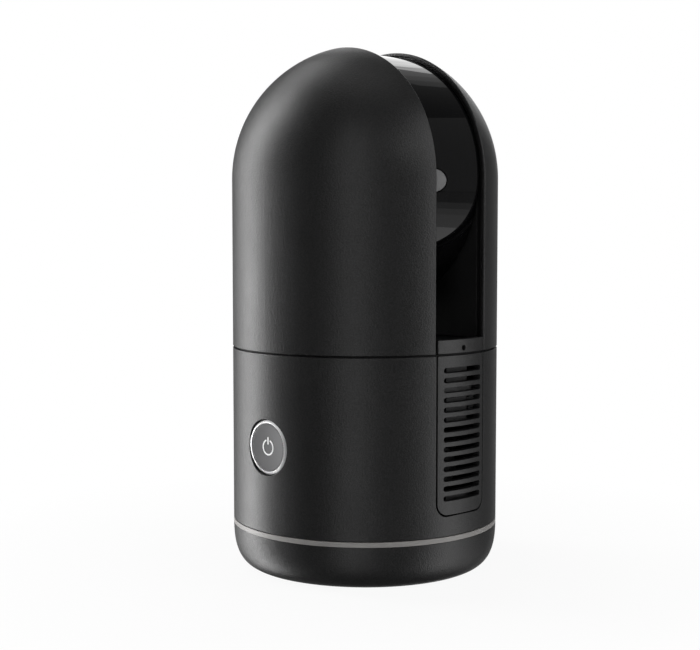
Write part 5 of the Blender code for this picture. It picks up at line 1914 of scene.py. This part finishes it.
@dataclass
class Studio:
    """Camera, pale floor, soft lamps and a white backdrop."""

    camera_place: Corner = (-0.30107, -0.30282, 0.10450)
    camera_turn: Point = (85.729, -44.229)
    lens: float = 72.35
    nearest: float = 0.01
    floor_size: float = 6.0
    floor_white: float = 0.85
    floor_roughness: float = 0.9
    floor_glow: float = 0.93
    floor_fade: Point = (0.05, 0.16)
    ambient: float = 0.06
    behind: float = 0.06
    behind_fade: Point = (0.35, 1.1)
    boxes: tuple[SoftBox, ...] = (
        SoftBox("left_strip", -154.8, 0.0, 0.26, 1.70, 11.3),
        SoftBox("left_back_strip", -172.8, 0.0, 0.26, 1.70, 1.7),
        SoftBox("front_strip", -54.8, 0.0, 0.26, 1.70, 1.82),
        SoftBox("right_strip", 27.7, 0.0, 0.40, 1.70, 4.05),
        SoftBox("back_strip", 132.0, 0.0, 0.34, 1.70, 1.20),
        SoftBox("back_panel", 126.6, 23.0, 0.39, 0.515, 0.565),
        SoftBox("drum_card_low", 106.7, 40.0, 0.24, 0.20, 0.020),
        SoftBox("drum_card_middle", 109.7, 40.0, 0.17, 0.20, 0.0072),
        SoftBox("drum_card_high", 112.7, 40.0, 0.11, 0.20, 0.005),
        SoftBox("side_card", 55.0, 16.6, 0.36, 0.63, 0.065),
        SoftBox("low_card_1", 50.0, -25.1, 0.50, 0.58, 0.064),
        SoftBox("low_card_2", 50.0, -28.4, 0.50, 0.48, 0.090),
        SoftBox("low_card_3", 50.0, -30.2, 0.50, 0.42, 0.079),
        SoftBox("low_card_4", 50.0, -32.0, 0.50, 0.37, 0.046),
        SoftBox("low_card_5", 52.0, -38.2, 0.50, 0.33, 0.183),
        SoftBox("far_right_strip", 113.0, 0.0, 0.34, 1.20, 0.32),
        SoftBox("edge_card", 106.0, 24.0, 0.24, 0.20, 0.12),
        SoftBox("high_left", 175.2, 52.0, 0.40, 0.35, 0.85, 0.85),
        SoftBox("front_right", -4.8, 28.0, 0.30, 0.25, 0.34),
        SoftBox("top_box", -44.8, 88.0, 0.50, 0.50, 0.40),
    )

    def build(self) -> None:
        """Set the stage."""
        scene = bpy.context.scene
        scene.view_settings.view_transform = "Standard"
        camera = bpy.data.cameras.new("camera")
        camera.lens = self.lens
        camera.clip_start = self.nearest
        eye = bpy.data.objects.new("camera", camera)
        eye.location = self.camera_place
        eye.rotation_euler = (math.radians(self.camera_turn[0]), 0.0, math.radians(self.camera_turn[1]))
        scene.collection.objects.link(eye)
        scene.camera = eye
        for box in self.boxes:
            box.build()
        self.build_floor()
        self.build_world()

    def build_floor(self) -> None:
        """Pale floor that looks white and keeps a faint shadow."""
        mesh = bpy.data.meshes.new("floor")
        half = self.floor_size / 2
        corners = [(x, y, 0.0) for x, y in rectangle((-half, half), (-half, half))]
        mesh.from_pydata(corners, [], [(0, 1, 2, 3)])
        floor = bpy.data.objects.new("floor", mesh)
        bpy.context.scene.collection.objects.link(floor)
        floor.visible_glossy = floor.visible_shadow = False
        sheet = NodeSheet("floor_paper")
        sheet.done((self.floor_white,) * 3 + (1.0,), self.floor_roughness)
        sheet.plain(Specular_IOR_Level=0.0)
        fade = sheet.spread(sheet.radius(Axis.Z, (0.0, 0.0, 0.0)), (self.floor_glow, 1.0), self.floor_fade)
        share = sheet.math("MULTIPLY", sheet.add("ShaderNodeLightPath").outputs["Is Camera Ray"], fade)
        glow = sheet.add("ShaderNodeEmission").outputs[0]
        mix = sheet.add("ShaderNodeMixShader", {0: share, 1: sheet.shader.outputs[0], 2: glow})
        sheet.feed(sheet.tree.nodes["Material Output"], "Surface", mix.outputs[0])
        mesh.materials.append(sheet.material)

    def build_world(self) -> None:
        """White backdrop for the camera, and in reflections from behind the object; dim light elsewhere."""
        world = bpy.data.worlds.new("studio")
        world.use_nodes = True
        work = NodeWork(world.node_tree)
        dim, white = work.tree.nodes["Background"], work.add("ShaderNodeBackground")
        for background, strength in ((dim, self.ambient), (white, 1.0)):
            work.feed(background, "Color", (1.0, 1.0, 1.0, 1.0))
            work.feed(background, "Strength", strength)
        path = work.add("ShaderNodeLightPath").outputs
        place = work.add("ShaderNodeTexCoord").outputs["Generated"]
        way = work.add("ShaderNodeSeparateXYZ", {0: place}).outputs
        towards = work.math("ADD", way["X"], way["Y"])
        behind = work.spread(towards, (0.0, self.behind), self.behind_fade, "SMOOTHSTEP")
        mirrored = work.math("MAXIMUM", path["Is Glossy Ray"], path["Is Transmission Ray"])
        seen = work.math("MAXIMUM", path["Is Camera Ray"], work.math("MULTIPLY", mirrored, behind))
        mix = work.add("ShaderNodeMixShader", {0: seen, 1: dim.outputs[0], 2: white.outputs[0]})
        work.feed(work.tree.nodes["World Output"], "Surface", mix.outputs[0])
        bpy.context.scene.world = world


def dress_solids() -> None:
    """Give every solid that stays in view the finish of its slot."""
    slots = {part["node"]: part["material_slot"] for part in frame["record"]["subparts"]}
    for name, node in frame["nodes"].items():
        if node.hide_render:
            continue
        node.data.materials.clear()
        node.data.materials.append((OWN_FINISH.get(name) or NODE_FINISH[Slot(slots[name])]).material())
        LOG.info("%s keeps its solid", name)


def main() -> None:
    """Build the sub-assemblies in order, dress the rest and set the stage."""
    logging.basicConfig(level=logging.INFO, format="%(name)s: %(message)s")
    form = Form()
    housing = Housing(form)
    assemblies = [
        Foot(form), housing,
        VentPanel(form, housing, "vent_panel_front", 0.0),
        VentPanel(form, housing, "vent_panel_rear", math.pi),
        AirGuide(form), Button(form), BatteryDoor(form), HeadShells(form), Drum(form),
    ]
    for assembly in assemblies:
        assembly.build()
    dress_solids()
    Studio().build()


if __name__ == "__main__":
    main()
